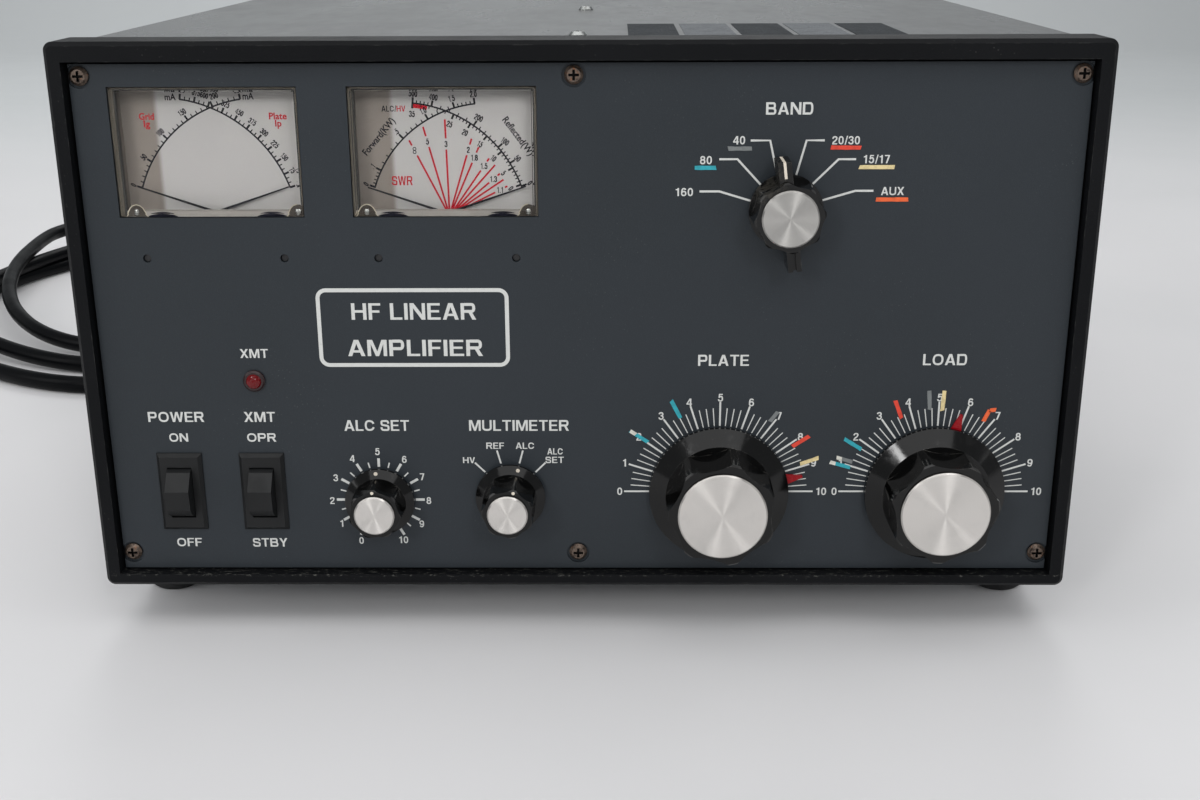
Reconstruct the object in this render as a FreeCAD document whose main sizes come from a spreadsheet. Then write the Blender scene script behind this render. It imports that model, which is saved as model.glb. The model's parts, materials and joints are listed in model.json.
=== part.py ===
"""HF linear amplifier: a desktop cabinet with two twin-needle meters, five knobs and two rocker switches.

Millimetres. The front faces -Y, +X is to the viewer's right and +Z is up. The origin is on the table, below
the middle of the cabinet. Every piece is drawn in cabinet coordinates, with y counted from the front plane of
the bezel and z from the bezel's lower edge, and is then placed by place_node().
"""

import FreeCAD, Part
import math
import os
import Sketcher

SIZES = {
    # cabinet
    "cabinet_width": 355.6,
    "cabinet_depth": 394.0,
    "bezel_height": 197.75,
    "bezel_depth": 20.0,
    "bezel_side": 5.5,
    "bezel_top": 6.6,
    "bezel_bottom": 4.7,
    "bezel_corner": 3.0,
    "bezel_bevel": 1.4,
    "bezel_lip": 8.0,
    "bezel_lip_thickness": 3.0,
    "bezel_lip_bottom": 9.7,
    "seat_gap": 0.3,
    "sheet_thickness": 1.5,
    "cover_inset": 2.8,
    "cover_drop": 1.7,
    "cover_bend": 1.2,
    "floor_rise": 2.0,
    "floor_flange": 14.0,
    # front panel
    "panel_setback": 4.0,
    "panel_thickness": 2.5,
    "panel_gap": 1.0,
    "screw_side_inset": 9.8,
    "screw_top_inset": 11.55,
    "screw_bottom_height": 12.0,
    "screw_head_radius": 3.25,
    "screw_head_height": 1.9,
    "screw_shank_radius": 1.75,
    "screw_hole_radius": 1.9,
    "screw_length": 8.0,
    "screw_recess_radius": 4.15,
    "screw_recess_depth": 1.0,
    "shaft_hole_clearance": 1.0,
    "cross_length": 3.6,
    "cross_width": 0.9,
    "cross_depth": 1.2,
    # feet
    "foot_height": 18.0,
    "foot_base_radius": 10.0,
    "foot_top_radius": 11.0,
    "foot_side_inset": 12.8,
    "foot_from_front": 43.0,
    "foot_recess_radius": 4.0,
    "foot_recess_depth": 6.0,
    "foot_chamfer": 1.0,
    # top cover
    "vent_pitch": 20.3,
    "vent_front": 40.0,
    "vent_hole_radius": 1.35,
    "vent_hole_pitch_x": 3.9,
    "vent_hole_pitch_y": 3.9,
    "vent_margin": 3.3,
    "vent_patches": 5.0,
    "vent_columns": 4.0,
    "vent_rows": 14.0,
    "cover_screw_front": 39.5,
    "cover_screw_pitch": 147.8,
    "cover_screw_height": 9.0,
    # meters
    "window_width": 64.0,
    "window_height": 44.5,
    "window_clearance": 0.3,
    "window_front": 3.2,
    "window_bevel": 1.3,
    "meter_case_width": 67.0,
    "meter_case_drop": 44.35,
    "meter_case_depth": 35.0,
    "meter_wall": 2.0,
    "meter_rim": 2.0,
    "dial_front": 13.4,
    "dial_thickness": 0.8,
    "dial_overlap": 0.6,
    "movement_drop": 27.3,
    "movement_radius": 9.0,
    "left_movement_offset": 17.1,
    "right_movement_offset": 15.2,
    "needle_length": 45.0,
    "needle_tail": 7.0,
    "needle_thickness": 0.4,
    "needle_base": 1.1,
    "needle_tip": 0.45,
    "needle_hub_radius": 2.2,
    "needle_hub_front": 11.0,
    "needle_hub_length": 1.6,
    "needle_zero_angle": 71.4,
    "spindle_radius": 1.0,
    "spindle_reach": 5.0,
    "running_clearance": 0.05,
    "adjuster_x": 24.0,
    "adjuster_drop": 36.6,
    "adjuster_radius": 1.2,
    "adjuster_setback": 1.0,
    "adjuster_hole_radius": 1.45,
    # rocker switches
    "switch_flange_width": 16.4,
    "switch_flange_height": 29.9,
    "switch_flange_thickness": 1.8,
    "switch_flange_bevel": 1.2,
    "switch_body_width": 13.0,
    "switch_body_height": 26.4,
    "switch_body_depth": 18.0,
    "switch_opening_width": 9.0,
    "switch_opening_height": 19.7,
    "switch_back_wall": 4.0,
    "switch_blade_length": 8.0,
    "switch_blade_thickness": 0.8,
    "switch_blade_width": 4.8,
    "switch_blade_pitch": 7.5,
    "rocker_width": 8.6,
    "rocker_pivot_depth": 5.0,
    "rocker_radius": 9.6,
    "rocker_ridge": 9.2,
    "rocker_face_slope": 20.0,
    "rocker_back": 4.0,
    "rocker_tilt": 16.0,
    "rocker_pin_radius": 1.2,
    "rocker_pin_length": 1.7,
    # pilot lamp
    "lamp_flange_radius": 3.9,
    "lamp_flange_thickness": 1.5,
    "lamp_flange_chamfer": 0.6,
    "lamp_body_radius": 3.2,
    "lamp_body_depth": 10.0,
    "lamp_lens_radius": 2.7,
    "lamp_lens_dome": 1.3,
    "lamp_lens_setback": 1.0,
    # knobs: reach is how far the cap stands in front of the bezel's front plane
    "knob_back": 2.5,
    "knob_face": 4.0,
    "knob_edge": 0.6,
    "knob_rim": 1.0,
    "cap_thickness": 1.2,
    "cap_edge": 0.5,
    "control_shaft_radius": 3.0,
    "tuning_shaft_radius": 3.175,
    "alc_reach": 12.0,
    "alc_rest_angle": -3.5,
    "multimeter_reach": 15.5,
    "multimeter_rest_angle": 15.0,
    "small_skirt_radius": 12.7,
    "small_skirt_thickness": 1.2,
    "small_skirt_height": 3.1,
    "small_body_back_radius": 9.9,
    "small_body_front_radius": 9.5,
    "small_cap_radius": 7.25,
    "small_flute_radius": 15.2,
    "small_flute_centre": 23.7,
    "small_flutes": 7.0,
    "band_reach": 13.0,
    "band_rest_angle": -7.5,
    "band_body_back_radius": 12.8,
    "band_body_front_radius": 12.1,
    "band_cap_radius": 9.67,
    "band_flute_radius": 16.2,
    "band_flute_centre": 27.1,
    "band_flutes": 8.0,
    "band_bar_length": 37.3,
    "band_bar_width": 4.6,
    "band_bar_setback": 3.0,
    "band_slot_width": 1.3,
    "band_slot_depth": 2.4,
    "plate_reach": 20.5,
    "plate_rest_angle": 13.0,
    "load_reach": 18.5,
    "load_rest_angle": -21.5,
    "tuning_skirt_radius": 25.3,
    "tuning_skirt_thickness": 1.6,
    "tuning_skirt_height": 5.1,
    "tuning_body_back_radius": 19.6,
    "tuning_body_front_radius": 19.4,
    "tuning_cap_radius": 15.75,
    "tuning_flute_radius": 27.7,
    "tuning_flute_centre": 44.8,
    "tuning_flutes": 7.0,
    # red pointers and the reduction drives behind them
    "plate_pointer_angle": 78.4,
    "load_pointer_angle": 15.0,
    "pointer_tip_radius": 31.0,
    "pointer_disc_radius": 9.5,
    "pointer_half_width": 8.0,
    "pointer_tip_half_width": 0.45,
    "pointer_front": 2.85,
    "pointer_thickness": 0.8,
    "sleeve_radius": 7.0,
    "sleeve_end": 26.0,
    "sleeve_end_wall": 4.0,
    "sleeve_hole_radius": 7.6,
    "drive_front": 8.0,
    "drive_nose_radius": 11.0,
    "drive_flange_radius": 15.0,
    "drive_flange_thickness": 7.0,
    # variable capacitors
    "capacitor_front": 32.0,
    "capacitor_length": 84.0,
    "capacitor_half_width": 31.0,
    "capacitor_end_thickness": 2.5,
    "stator_plate_thickness": 1.0,
    "stator_edge": 7.0,
    "stator_outer": 29.0,
    "stator_half_height": 27.0,
    "stator_rod_radius": 2.0,
    "stator_rod_x": 27.0,
    "stator_rod_height": 23.5,
    "rotor_plate_radius": 25.0,
    "rotor_hub_radius": 4.8,
    "plate_capacitor_plates": 9.0,
    "load_capacitor_plates": 13.0,
    "rotor_tail": 5.0,
    # switch and potentiometer behind the sub-panel
    "bush_radius": 4.7,
    "bush_hole_radius": 5.0,
    "bush_front": 12.0,
    "potentiometer_radius": 12.0,
    "potentiometer_depth": 12.0,
    "potentiometer_back_wall": 2.0,
    "tag_pitch": 5.0,
    "tag_width": 2.0,
    "tag_thickness": 1.0,
    "tag_reach": 6.0,
    "tag_root": 3.0,
    "nut_radius": 7.5,
    "nut_thickness": 2.0,
    "rotary_switch_radius": 16.0,
    "rotary_switch_depth": 18.0,
    "band_switch_radius": 21.0,
    "band_switch_depth": 9.0,
    "switch_rod_inset": 3.0,
    "switch_shaft_reach": 3.0,
    "wafer_radius": 24.0,
    "wafer_thickness": 1.6,
    "wafer_pitch": 24.0,
    "wafer_rod_radius": 1.8,
    "wafer_rod_offset": 20.0,
    "wafer_count": 3.0,
    # power compartment
    "partition_flange": 9.0,
    "transformer_front": 150.0,
    "core_width": 112.0,
    "core_depth": 64.0,
    "core_height": 116.0,
    "winding_width": 62.0,
    "winding_depth": 106.0,
    "winding_height": 78.0,
    "winding_round": 7.75,
    "board_front": 330.0,
    "board_width": 150.0,
    "board_height": 90.0,
    "board_thickness": 1.6,
    "can_radius": 16.0,
    "can_length": 48.0,
    "can_pitch": 36.0,
    # radio-frequency compartment
    "tube_from_front": 178.0,
    "tube_bulb_radius": 31.5,
    "tube_neck_radius": 20.0,
    "tube_height": 140.0,
    "tube_cap_radius": 7.0,
    "tube_cap_height": 14.0,
    "tube_neck_height": 12.0,
    "tube_shoulder_height": 24.0,
    "tube_dome_height": 40.0,
    "tube_dome_bend": 24.0,
    "tube_cap_ledge": 1.0,
    "tube_seat": 6.0,
    "socket_radius": 29.0,
    "socket_height": 18.0,
    "coil_front": 130.0,
    "coil_height": 100.0,
    "coil_length": 96.0,
    "coil_radius": 25.0,
    "coil_wire": 4.0,
    "coil_wire_round": 0.8,
    "coil_former_radius": 21.5,
    "coil_former_wall": 3.0,
    "coil_turns": 12.0,
    "coil_leg_thickness": 5.0,
    "coil_leg_width": 30.0,
    "coil_leg_inset": 0.7,
    "coil_leg_drop": 1.0,
    # fan
    "fan_height": 92.0,
    "fan_half_width": 46.0,
    "fan_depth": 25.0,
    "fan_duct_radius": 43.0,
    "fan_blade_radius": 41.0,
    "fan_hub_radius": 17.0,
    "fan_hub_depth": 14.0,
    "fan_blade_width": 14.0,
    "fan_blade_thickness": 1.6,
    "fan_blade_pitch": 35.0,
    "fan_blades": 7.0,
    "fan_spider_thickness": 3.5,
    "fan_strut_width": 4.0,
    "fan_spindle_radius": 2.0,
    "fan_spindle_reach": 4.4,
    "fan_boss_radius": 5.0,
    "fan_boss_length": 4.0,
    "fan_hub_gap": 1.0,
    "fan_blade_root": 2.0,
    "guard_hole_radius": 3.4,
    "guard_ring_pitch": 9.4,
    # rear panel fittings
    "connector_height": 40.0,
    "connector_pitch": 36.0,
    "connector_reach": 12.0,
    "connector_radius": 7.94,
    "connector_hole_radius": 8.2,
    "connector_body_radius": 7.5,
    "connector_body_depth": 14.0,
    "connector_flange": 25.4,
    "connector_flange_thickness": 1.6,
    "connector_contact_radius": 1.95,
    "phono_height": 24.0,
    "phono_pitch": 18.0,
    "phono_reach": 9.0,
    "phono_radius": 4.1,
    "phono_flange_radius": 6.5,
    "phono_flange_thickness": 1.2,
    "phono_body_depth": 8.0,
    "phono_floor": 1.0,
    "phono_body_radius": 3.2,
    "phono_hole_radius": 3.5,
    "phono_contact_radius": 1.6,
    "relief_height": 30.0,
    "relief_flange_radius": 10.5,
    "relief_flange_thickness": 3.0,
    "relief_nose_radius": 7.6,
    "relief_nose_taper": 1.8,
    "relief_reach": 24.0,
    "relief_body_radius": 7.7,
    "relief_hole_radius": 8.0,
    "relief_body_depth": 6.0,
    # mains cord
    "cord_radius": 4.75,
    "cord_coil_from_side": 147.2,
    "cord_coil_from_back": 75.75,
    "cord_coil_hole_across": 7.0,
    "cord_coil_hole_back": 32.0,
    "cord_coil_tilt": 10.0,
    "cord_coil_half_width": 122.0,
    "cord_coil_half_length": 201.0,
    "cord_coil_height": 33.0,
    "cord_coil_hole_tilt": 6.0,
    "cord_coil_hole_half_width": 76.0,
    "cord_coil_hole_half_length": 130.0,
    "plug_turn": 26.6,
    "plug_length": 38.0,
    "plug_width": 27.0,
    "plug_height": 25.0,
    "plug_round": 5.0,
    "plug_neck_radius": 7.0,
    "plug_neck_length": 14.0,
    "plug_neck_wall": 0.8,
    "plug_blade_length": 18.0,
    "plug_blade_width": 6.3,
    "plug_blade_thickness": 1.5,
    "plug_blade_offset": 6.35,
    "plug_pin_radius": 2.4,
    "plug_pin_length": 20.0,
    "plug_blade_rise": 5.0,
    "plug_pin_drop": 6.9,
}

# Places on the cabinet, in millimetres at this width and height of it. They spread and close up with it.
DRAWN_WIDTH = 355.6
DRAWN_HEIGHT = 197.75
PLACES_ACROSS = {
    "screw_middle_x": -1.8,
    "vent_first_x": 16.7,
    "cover_screw_x": -1.3,
    "left_meter_x": -127.2,
    "right_meter_x": -46.4,
    "power_switch_x": -147.0,
    "standby_switch_x": -116.95,
    "lamp_x": -117.2,
    "alc_x": -74.3,
    "multimeter_x": -26.3,
    "band_x": 70.5,
    "plate_x": 49.7,
    "load_x": 128.1,
    "partition_x": -1.3,
    "transformer_x": -95.0,
    "tube_x": 60.0,
    "coil_x": 132.0,
    "fan_x": 88.0,
    "connector_x": 150.0,
    "phono_x": 112.0,
    "relief_x": -150.0,
}
PLACES_UPWARD = {
    "meter_height": 160.35,
    "switch_height": 36.5,
    "lamp_height": 79.1,
    "alc_height": 33.1,
    "multimeter_height": 34.75,
    "band_height": 140.4,
    "plate_height": 36.4,
    "load_height": 36.4,
}

# the y of the bezel's front plane, so that the origin lies below the middle of the whole cabinet
FRONT = "(dim.plate_reach - dim.cabinet_depth - dim.connector_reach) / 2"
PANEL_BACK = "(dim.panel_setback + dim.panel_thickness)"
SUBPANEL_FRONT = "(dim.bezel_depth + dim.seat_gap)"
SUBPANEL_BACK = "(dim.bezel_depth + dim.seat_gap + dim.sheet_thickness)"
REAR_INSIDE = "(dim.cabinet_depth - dim.sheet_thickness)"
HALF_COVER = "(dim.cabinet_width / 2 - dim.cover_inset)"
HALF_CHASSIS = "(dim.cabinet_width / 2 - dim.cover_inset - dim.sheet_thickness - dim.seat_gap)"
COVER_TOP = "(dim.bezel_height - dim.cover_drop)"
CHASSIS_TOP = "(dim.bezel_height - dim.cover_drop - dim.sheet_thickness - dim.seat_gap)"
FLOOR_TOP = "(dim.floor_rise + dim.sheet_thickness)"
# how far a cutting tool, or a piece that is joined to another, runs past the face it meets
OVERRUN = 1.0
SCREW_SIDE = "(dim.cabinet_width / 2 - dim.screw_side_inset)"
SCREWS = [
    (across, height)
    for height in ("dim.bezel_height - dim.screw_top_inset", "dim.screw_bottom_height")
    for across in (f"-{SCREW_SIDE}", "dim.screw_middle_x", SCREW_SIDE)
]
FOOT_SIDE = "(dim.cabinet_width / 2 - dim.foot_side_inset)"
MOVEMENT_HEIGHT = "(dim.meter_height - dim.movement_drop)"
ADJUSTER_HEIGHT = "(dim.meter_height - dim.adjuster_drop)"
CASE_BOTTOM = "(dim.meter_height - dim.meter_case_drop)"
BOARD_MIDDLE = f"(dim.partition_x - {HALF_CHASSIS}) / 2"

doc = FreeCAD.newDocument("hf_linear_amplifier")
sheet = doc.addObject("Spreadsheet::Sheet", "dim")
nodes = []


def fill_sheet():
    """One row per size: its name in column A and its value, with the name as alias, in column B."""
    rows = list(SIZES.items())
    for places, whole, drawn in (
        (PLACES_ACROSS, "cabinet_width", DRAWN_WIDTH),
        (PLACES_UPWARD, "bezel_height", DRAWN_HEIGHT),
    ):
        rows += [(name, f"={value} * {whole} / {drawn}") for name, value in places.items()]
    for row, (name, value) in enumerate(rows, start=1):
        sheet.set(f"A{row}", name)
        sheet.set(f"B{row}", str(value))
        sheet.setAlias(f"B{row}", name)
    doc.recompute()


def size(name):
    return float(sheet.get(name))


# ---------------------------------------------------------------- helpers


def place(item, across="0", back="0", height="0"):
    for axis, formula in zip("xyz", (across, back, height)):
        item.setExpression(f"Placement.Base.{axis}", formula)


def place_node(label, item, across="0", height="0", back="0", turn=None):
    """Name a finished piece and set it in the part's frame; turn is (axis, degrees) about its own origin."""
    item.Label = label
    if turn:
        item.Placement = FreeCAD.Placement(FreeCAD.Vector(), FreeCAD.Rotation(*turn))
    place(item, across, f"{FRONT} + {back}", f"dim.foot_height + {height}")
    nodes.append(item)
    return item


def block(name, across, back, height):
    """A box between two formulas along each axis."""
    item = doc.addObject("Part::Box", name)
    for prop, (low, high) in zip(("Length", "Width", "Height"), (across, back, height)):
        item.setExpression(prop, f"({high}) - ({low})")
    place(item, across[0], back[0], height[0])
    return item


TURNS = {"x": ((0, 1, 0), 90), "y": ((1, 0, 0), -90), "z": ((0, 0, 1), 0)}


def cylinder(name, axis, start, radius, length, sweep=360):
    """A cylinder that runs from start along +axis."""
    item = doc.addObject("Part::Cylinder", name)
    direction, degrees = TURNS[axis]
    item.Placement.Rotation = FreeCAD.Rotation(FreeCAD.Vector(*direction), degrees)
    item.setExpression("Radius", radius)
    item.setExpression("Height", length)
    item.Angle = sweep
    place(item, *start)
    return item


def group(name, items):
    item = doc.addObject("Part::Compound", name)
    item.Links = items
    return item


def fuse(name, items):
    item = doc.addObject("Part::MultiFuse", name)
    item.Shapes = items
    item.Refine = True
    return item


def cut(name, base, tools):
    item = doc.addObject("Part::Cut", name)
    item.Base = base
    item.Tool = tools[0] if len(tools) == 1 else fuse(f"{name}_tools", tools)
    return item


def new_body(name):
    return doc.addObject("PartDesign::Body", name)


def sketch_on(body, name, role, shift="0", across="0", along="0"):
    """A sketch on one of the body's own origin planes, moved along its normal and within its plane."""
    plane = next(item for item in body.Origin.OriginFeatures if item.Role == role)
    sketch = body.newObject("Sketcher::SketchObject", name)
    sketch.AttachmentSupport = (plane, [""])
    sketch.MapMode = "FlatFace"
    sketch.setExpression("AttachmentOffset.Base.x", across)
    sketch.setExpression("AttachmentOffset.Base.y", along)
    sketch.setExpression("AttachmentOffset.Base.z", shift)
    return sketch


def hold_point(sketch, geometry, end, spot, formulas):
    """Fix one point of a sketch at two formulas from the sketch's origin."""
    for kind, start, formula in zip(("DistanceX", "DistanceY"), (spot.x, spot.y), formulas):
        index = sketch.addConstraint(Sketcher.Constraint(kind, -1, 1, geometry, end, start))
        sketch.setExpression(f"Constraints[{index}]", formula)


def draw_outline(sketch, corners):
    """A closed outline of straight lines through corners given as pairs of formulas."""
    first = sketch.GeometryCount
    count = len(corners)
    spots = []
    for index in range(count):
        turn = 2 * math.pi * (index + 0.25) / count
        spots.append(FreeCAD.Vector(20 * math.cos(turn), 20 * math.sin(turn), 0))
    for index in range(count):
        sketch.addGeometry(Part.LineSegment(spots[index], spots[(index + 1) % count]), False)
    joints = [
        Sketcher.Constraint("Coincident", first + index, 2, first + (index + 1) % count, 1)
        for index in range(count)
    ]
    sketch.addConstraint(joints)
    for index, formulas in enumerate(corners):
        hold_point(sketch, first + index, 1, spots[index], formulas)


def draw_rectangle(sketch, across, along):
    low, high = across
    bottom, top = along
    draw_outline(sketch, [(low, bottom), (high, bottom), (high, top), (low, top)])


def draw_circle(sketch, across, along, radius):
    spot = FreeCAD.Vector(1, 1, 0)
    geometry = sketch.addGeometry(Part.Circle(spot, FreeCAD.Vector(0, 0, 1), 1), False)
    hold_point(sketch, geometry, 3, spot, (across, along))
    index = sketch.addConstraint(Sketcher.Constraint("Radius", geometry, 1))
    sketch.setExpression(f"Constraints[{index}]", radius)


def pad(body, name, sketch, length, reverse=False, midplane=False):
    item = body.newObject("PartDesign::Pad", name)
    item.Profile = sketch
    item.setExpression("Length", length)
    item.Reversed = reverse
    item.Midplane = midplane
    return item


def pocket(body, name, sketch, length, reverse=False, midplane=False):
    item = body.newObject("PartDesign::Pocket", name)
    item.Profile = sketch
    item.setExpression("Length", length)
    item.Reversed = reverse
    item.Midplane = midplane
    return item


def turned(name, profile, plane="XY_Plane"):
    """A body of revolution from (radius, along) corners: about Y on XY_Plane, about Z on XZ_Plane."""
    body = new_body(name)
    sketch = sketch_on(body, f"{name}_profile", plane)
    draw_outline(sketch, profile)
    item = body.newObject("PartDesign::Revolution", f"{name}_turned")
    item.Profile = sketch
    item.ReferenceAxis = (sketch, ["V_Axis"])
    item.Angle = 360
    return body


def around(body, name, feature, sketch, count):
    """Repeat a feature round the normal of its sketch."""
    item = body.newObject("PartDesign::PolarPattern", name)
    item.Originals = [feature]
    item.Axis = (sketch, ["N_Axis"])
    item.Angle = 360
    item.Occurrences = int(size(count))
    body.Tip = item
    return item


def bevel(body, name, feature, length, test, kind="Chamfer"):
    """Chamfer or fillet the edges of a feature that pass a test."""
    doc.recompute()
    names = [f"Edge{n}" for n, edge in enumerate(feature.Shape.Edges, start=1) if test(edge)]
    item = body.newObject(f"PartDesign::{kind}", name)
    item.Base = (feature, names)
    item.setExpression("Size" if kind == "Chamfer" else "Radius", length)
    body.Tip = item
    return item


def lies_at(edge, axis, value):
    """True for an edge that lies wholly at one coordinate."""
    box = edge.BoundBox
    low = getattr(box, f"{axis}Min")
    high = getattr(box, f"{axis}Max")
    return abs(low - value) < 0.01 and abs(high - value) < 0.01


def runs_back(edge):
    box = edge.BoundBox
    return box.XLength < 0.01 and box.ZLength < 0.01 and box.YLength > 0.5


# ---------------------------------------------------------------- cabinet


def make_front_bezel():
    body = new_body("front_bezel")
    half = "dim.cabinet_width / 2"
    outer = sketch_on(body, "bezel_outline", "XZ_Plane")
    draw_rectangle(outer, (f"-{half}", half), ("0", "dim.bezel_height"))
    frame = pad(body, "bezel_block", outer, "dim.bezel_depth", reverse=True)
    corners = bevel(body, "bezel_corners", frame, "dim.bezel_corner", runs_back, "Fillet")
    doc.recompute()
    bevel(body, "bezel_edge", corners, "dim.bezel_bevel", lambda edge: lies_at(edge, "Y", 0))
    side = f"({half} - dim.bezel_side)"
    top = "(dim.bezel_height - dim.bezel_top)"
    opening = sketch_on(body, "bezel_opening", "XZ_Plane")
    draw_rectangle(opening, (f"-{side}", side), ("dim.bezel_bottom", top))
    pocket(body, "bezel_opening_cut", opening, "dim.bezel_depth")
    lip = sketch_on(body, "bezel_lip_outline", "XZ_Plane", f"-{PANEL_BACK}")
    draw_rectangle(
        lip,
        (f"-{side} - {OVERRUN}", f"{side} + {OVERRUN}"),
        (f"dim.bezel_bottom - {OVERRUN}", f"{top} + {OVERRUN}"),
    )
    draw_rectangle(
        lip,
        (f"-{side} + dim.bezel_lip", f"{side} - dim.bezel_lip"),
        ("dim.bezel_bottom + dim.bezel_lip_bottom", f"{top} - dim.bezel_lip"),
    )
    pad(body, "bezel_lip_ring", lip, "dim.bezel_lip_thickness", reverse=True)
    holes = sketch_on(body, "bezel_screw_holes", "XZ_Plane", f"-{PANEL_BACK}")
    for across, height in SCREWS:
        draw_circle(holes, across, height, "dim.screw_hole_radius")
    pocket(body, "bezel_screw_cut", holes, "dim.bezel_lip_thickness")
    place_node("front_bezel", body)


def make_front_panel():
    body = new_body("front_panel")
    half = "(dim.cabinet_width / 2 - dim.bezel_side - dim.panel_gap)"
    low = "dim.bezel_bottom + dim.panel_gap"
    high = "dim.bezel_height - dim.bezel_top - dim.panel_gap"
    outline = sketch_on(body, "panel_outline", "XZ_Plane", "-dim.panel_setback")
    draw_rectangle(outline, (f"-{half}", half), (low, high))
    pad(body, "panel_plate", outline, "dim.panel_thickness", reverse=True)
    openings = sketch_on(body, "panel_openings", "XZ_Plane", "-dim.panel_setback")
    for meter in ("dim.left_meter_x", "dim.right_meter_x"):
        draw_rectangle(
            openings,
            (f"{meter} - dim.window_width / 2", f"{meter} + dim.window_width / 2"),
            ("dim.meter_height - dim.window_height / 2", "dim.meter_height + dim.window_height / 2"),
        )
        for side in ("-", "+"):
            draw_circle(
                openings,
                f"{meter} {side} dim.adjuster_x",
                ADJUSTER_HEIGHT,
                "dim.adjuster_hole_radius",
            )
    for switch in ("dim.power_switch_x", "dim.standby_switch_x"):
        across = "(dim.switch_body_width / 2 + dim.seat_gap)"
        along = "(dim.switch_body_height / 2 + dim.seat_gap)"
        draw_rectangle(
            openings,
            (f"{switch} - {across}", f"{switch} + {across}"),
            (f"dim.switch_height - {along}", f"dim.switch_height + {along}"),
        )
    draw_circle(openings, "dim.lamp_x", "dim.lamp_height", "dim.lamp_body_radius + dim.seat_gap")
    for control in ("alc", "multimeter"):
        radius = "dim.control_shaft_radius + dim.shaft_hole_clearance"
        draw_circle(openings, f"dim.{control}_x", f"dim.{control}_height", radius)
    radius = "dim.tuning_shaft_radius + dim.shaft_hole_clearance"
    draw_circle(openings, "dim.band_x", "dim.band_height", radius)
    for tuning in ("plate", "load"):
        draw_circle(openings, f"dim.{tuning}_x", f"dim.{tuning}_height", "dim.sleeve_hole_radius")
    for across, height in SCREWS:
        draw_circle(openings, across, height, "dim.screw_hole_radius")
    pocket(body, "panel_openings_cut", openings, "dim.panel_thickness")
    seats = sketch_on(body, "panel_screw_seats", "XZ_Plane", "-dim.panel_setback")
    for across, height in SCREWS:
        draw_circle(seats, across, height, "dim.screw_recess_radius")
    pocket(body, "panel_screw_seats_cut", seats, "dim.screw_recess_depth")
    place_node("front_panel", body)


def make_chassis_pan():
    body = new_body("chassis_pan")
    floor = sketch_on(body, "floor_outline", "XY_Plane", "dim.floor_rise")
    draw_rectangle(
        floor,
        (f"-{HALF_CHASSIS}", HALF_CHASSIS),
        (SUBPANEL_FRONT, f"{REAR_INSIDE} - dim.seat_gap"),
    )
    pad(body, "floor_plate", floor, "dim.sheet_thickness")
    wall = sketch_on(body, "subpanel_outline", "XZ_Plane", f"-{SUBPANEL_FRONT}")
    draw_rectangle(wall, (f"-{HALF_CHASSIS}", HALF_CHASSIS), ("dim.floor_rise", CHASSIS_TOP))
    pad(body, "subpanel_plate", wall, "dim.sheet_thickness", reverse=True)
    sides = sketch_on(body, "side_flanges", "XY_Plane", "dim.floor_rise")
    for low, high in (
        (f"-{HALF_CHASSIS}", f"-{HALF_CHASSIS} + dim.sheet_thickness"),
        (f"{HALF_CHASSIS} - dim.sheet_thickness", HALF_CHASSIS),
    ):
        draw_rectangle(sides, (low, high), (SUBPANEL_FRONT, f"{REAR_INSIDE} - dim.seat_gap"))
    pad(body, "side_flange_walls", sides, "dim.floor_flange")
    openings = sketch_on(body, "subpanel_openings", "XZ_Plane", f"-{SUBPANEL_FRONT}")
    half = "(dim.meter_case_width / 2 + dim.seat_gap)"
    case_top = "(dim.meter_height + dim.window_height / 2 + dim.seat_gap)"
    for meter in ("dim.left_meter_x", "dim.right_meter_x"):
        draw_rectangle(
            openings,
            (f"{meter} - {half}", f"{meter} + {half}"),
            (f"{CASE_BOTTOM} - dim.seat_gap", f"{case_top} + dim.seat_gap"),
        )
    for switch in ("dim.power_switch_x", "dim.standby_switch_x"):
        across = "(dim.switch_body_width / 2 + 2 * dim.seat_gap)"
        along = "(dim.switch_body_height / 2 + 2 * dim.seat_gap)"
        draw_rectangle(
            openings,
            (f"{switch} - {across}", f"{switch} + {across}"),
            (f"dim.switch_height - {along}", f"dim.switch_height + {along}"),
        )
    for control in ("alc", "multimeter", "band"):
        draw_circle(openings, f"dim.{control}_x", f"dim.{control}_height", "dim.bush_hole_radius")
    for tuning in ("plate", "load"):
        draw_circle(openings, f"dim.{tuning}_x", f"dim.{tuning}_height", "dim.sleeve_hole_radius")
    pocket(body, "subpanel_openings_cut", openings, "dim.sheet_thickness")
    holes = sketch_on(body, "flange_screw_holes", "YZ_Plane")
    for index in range(3):
        along = f"dim.cover_screw_front + {index} * dim.cover_screw_pitch"
        draw_circle(holes, along, "dim.cover_screw_height", "dim.screw_hole_radius")
    pocket(body, "flange_screw_cut", holes, "dim.cabinet_width", midplane=True)
    place_node("chassis_pan", body)


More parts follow.
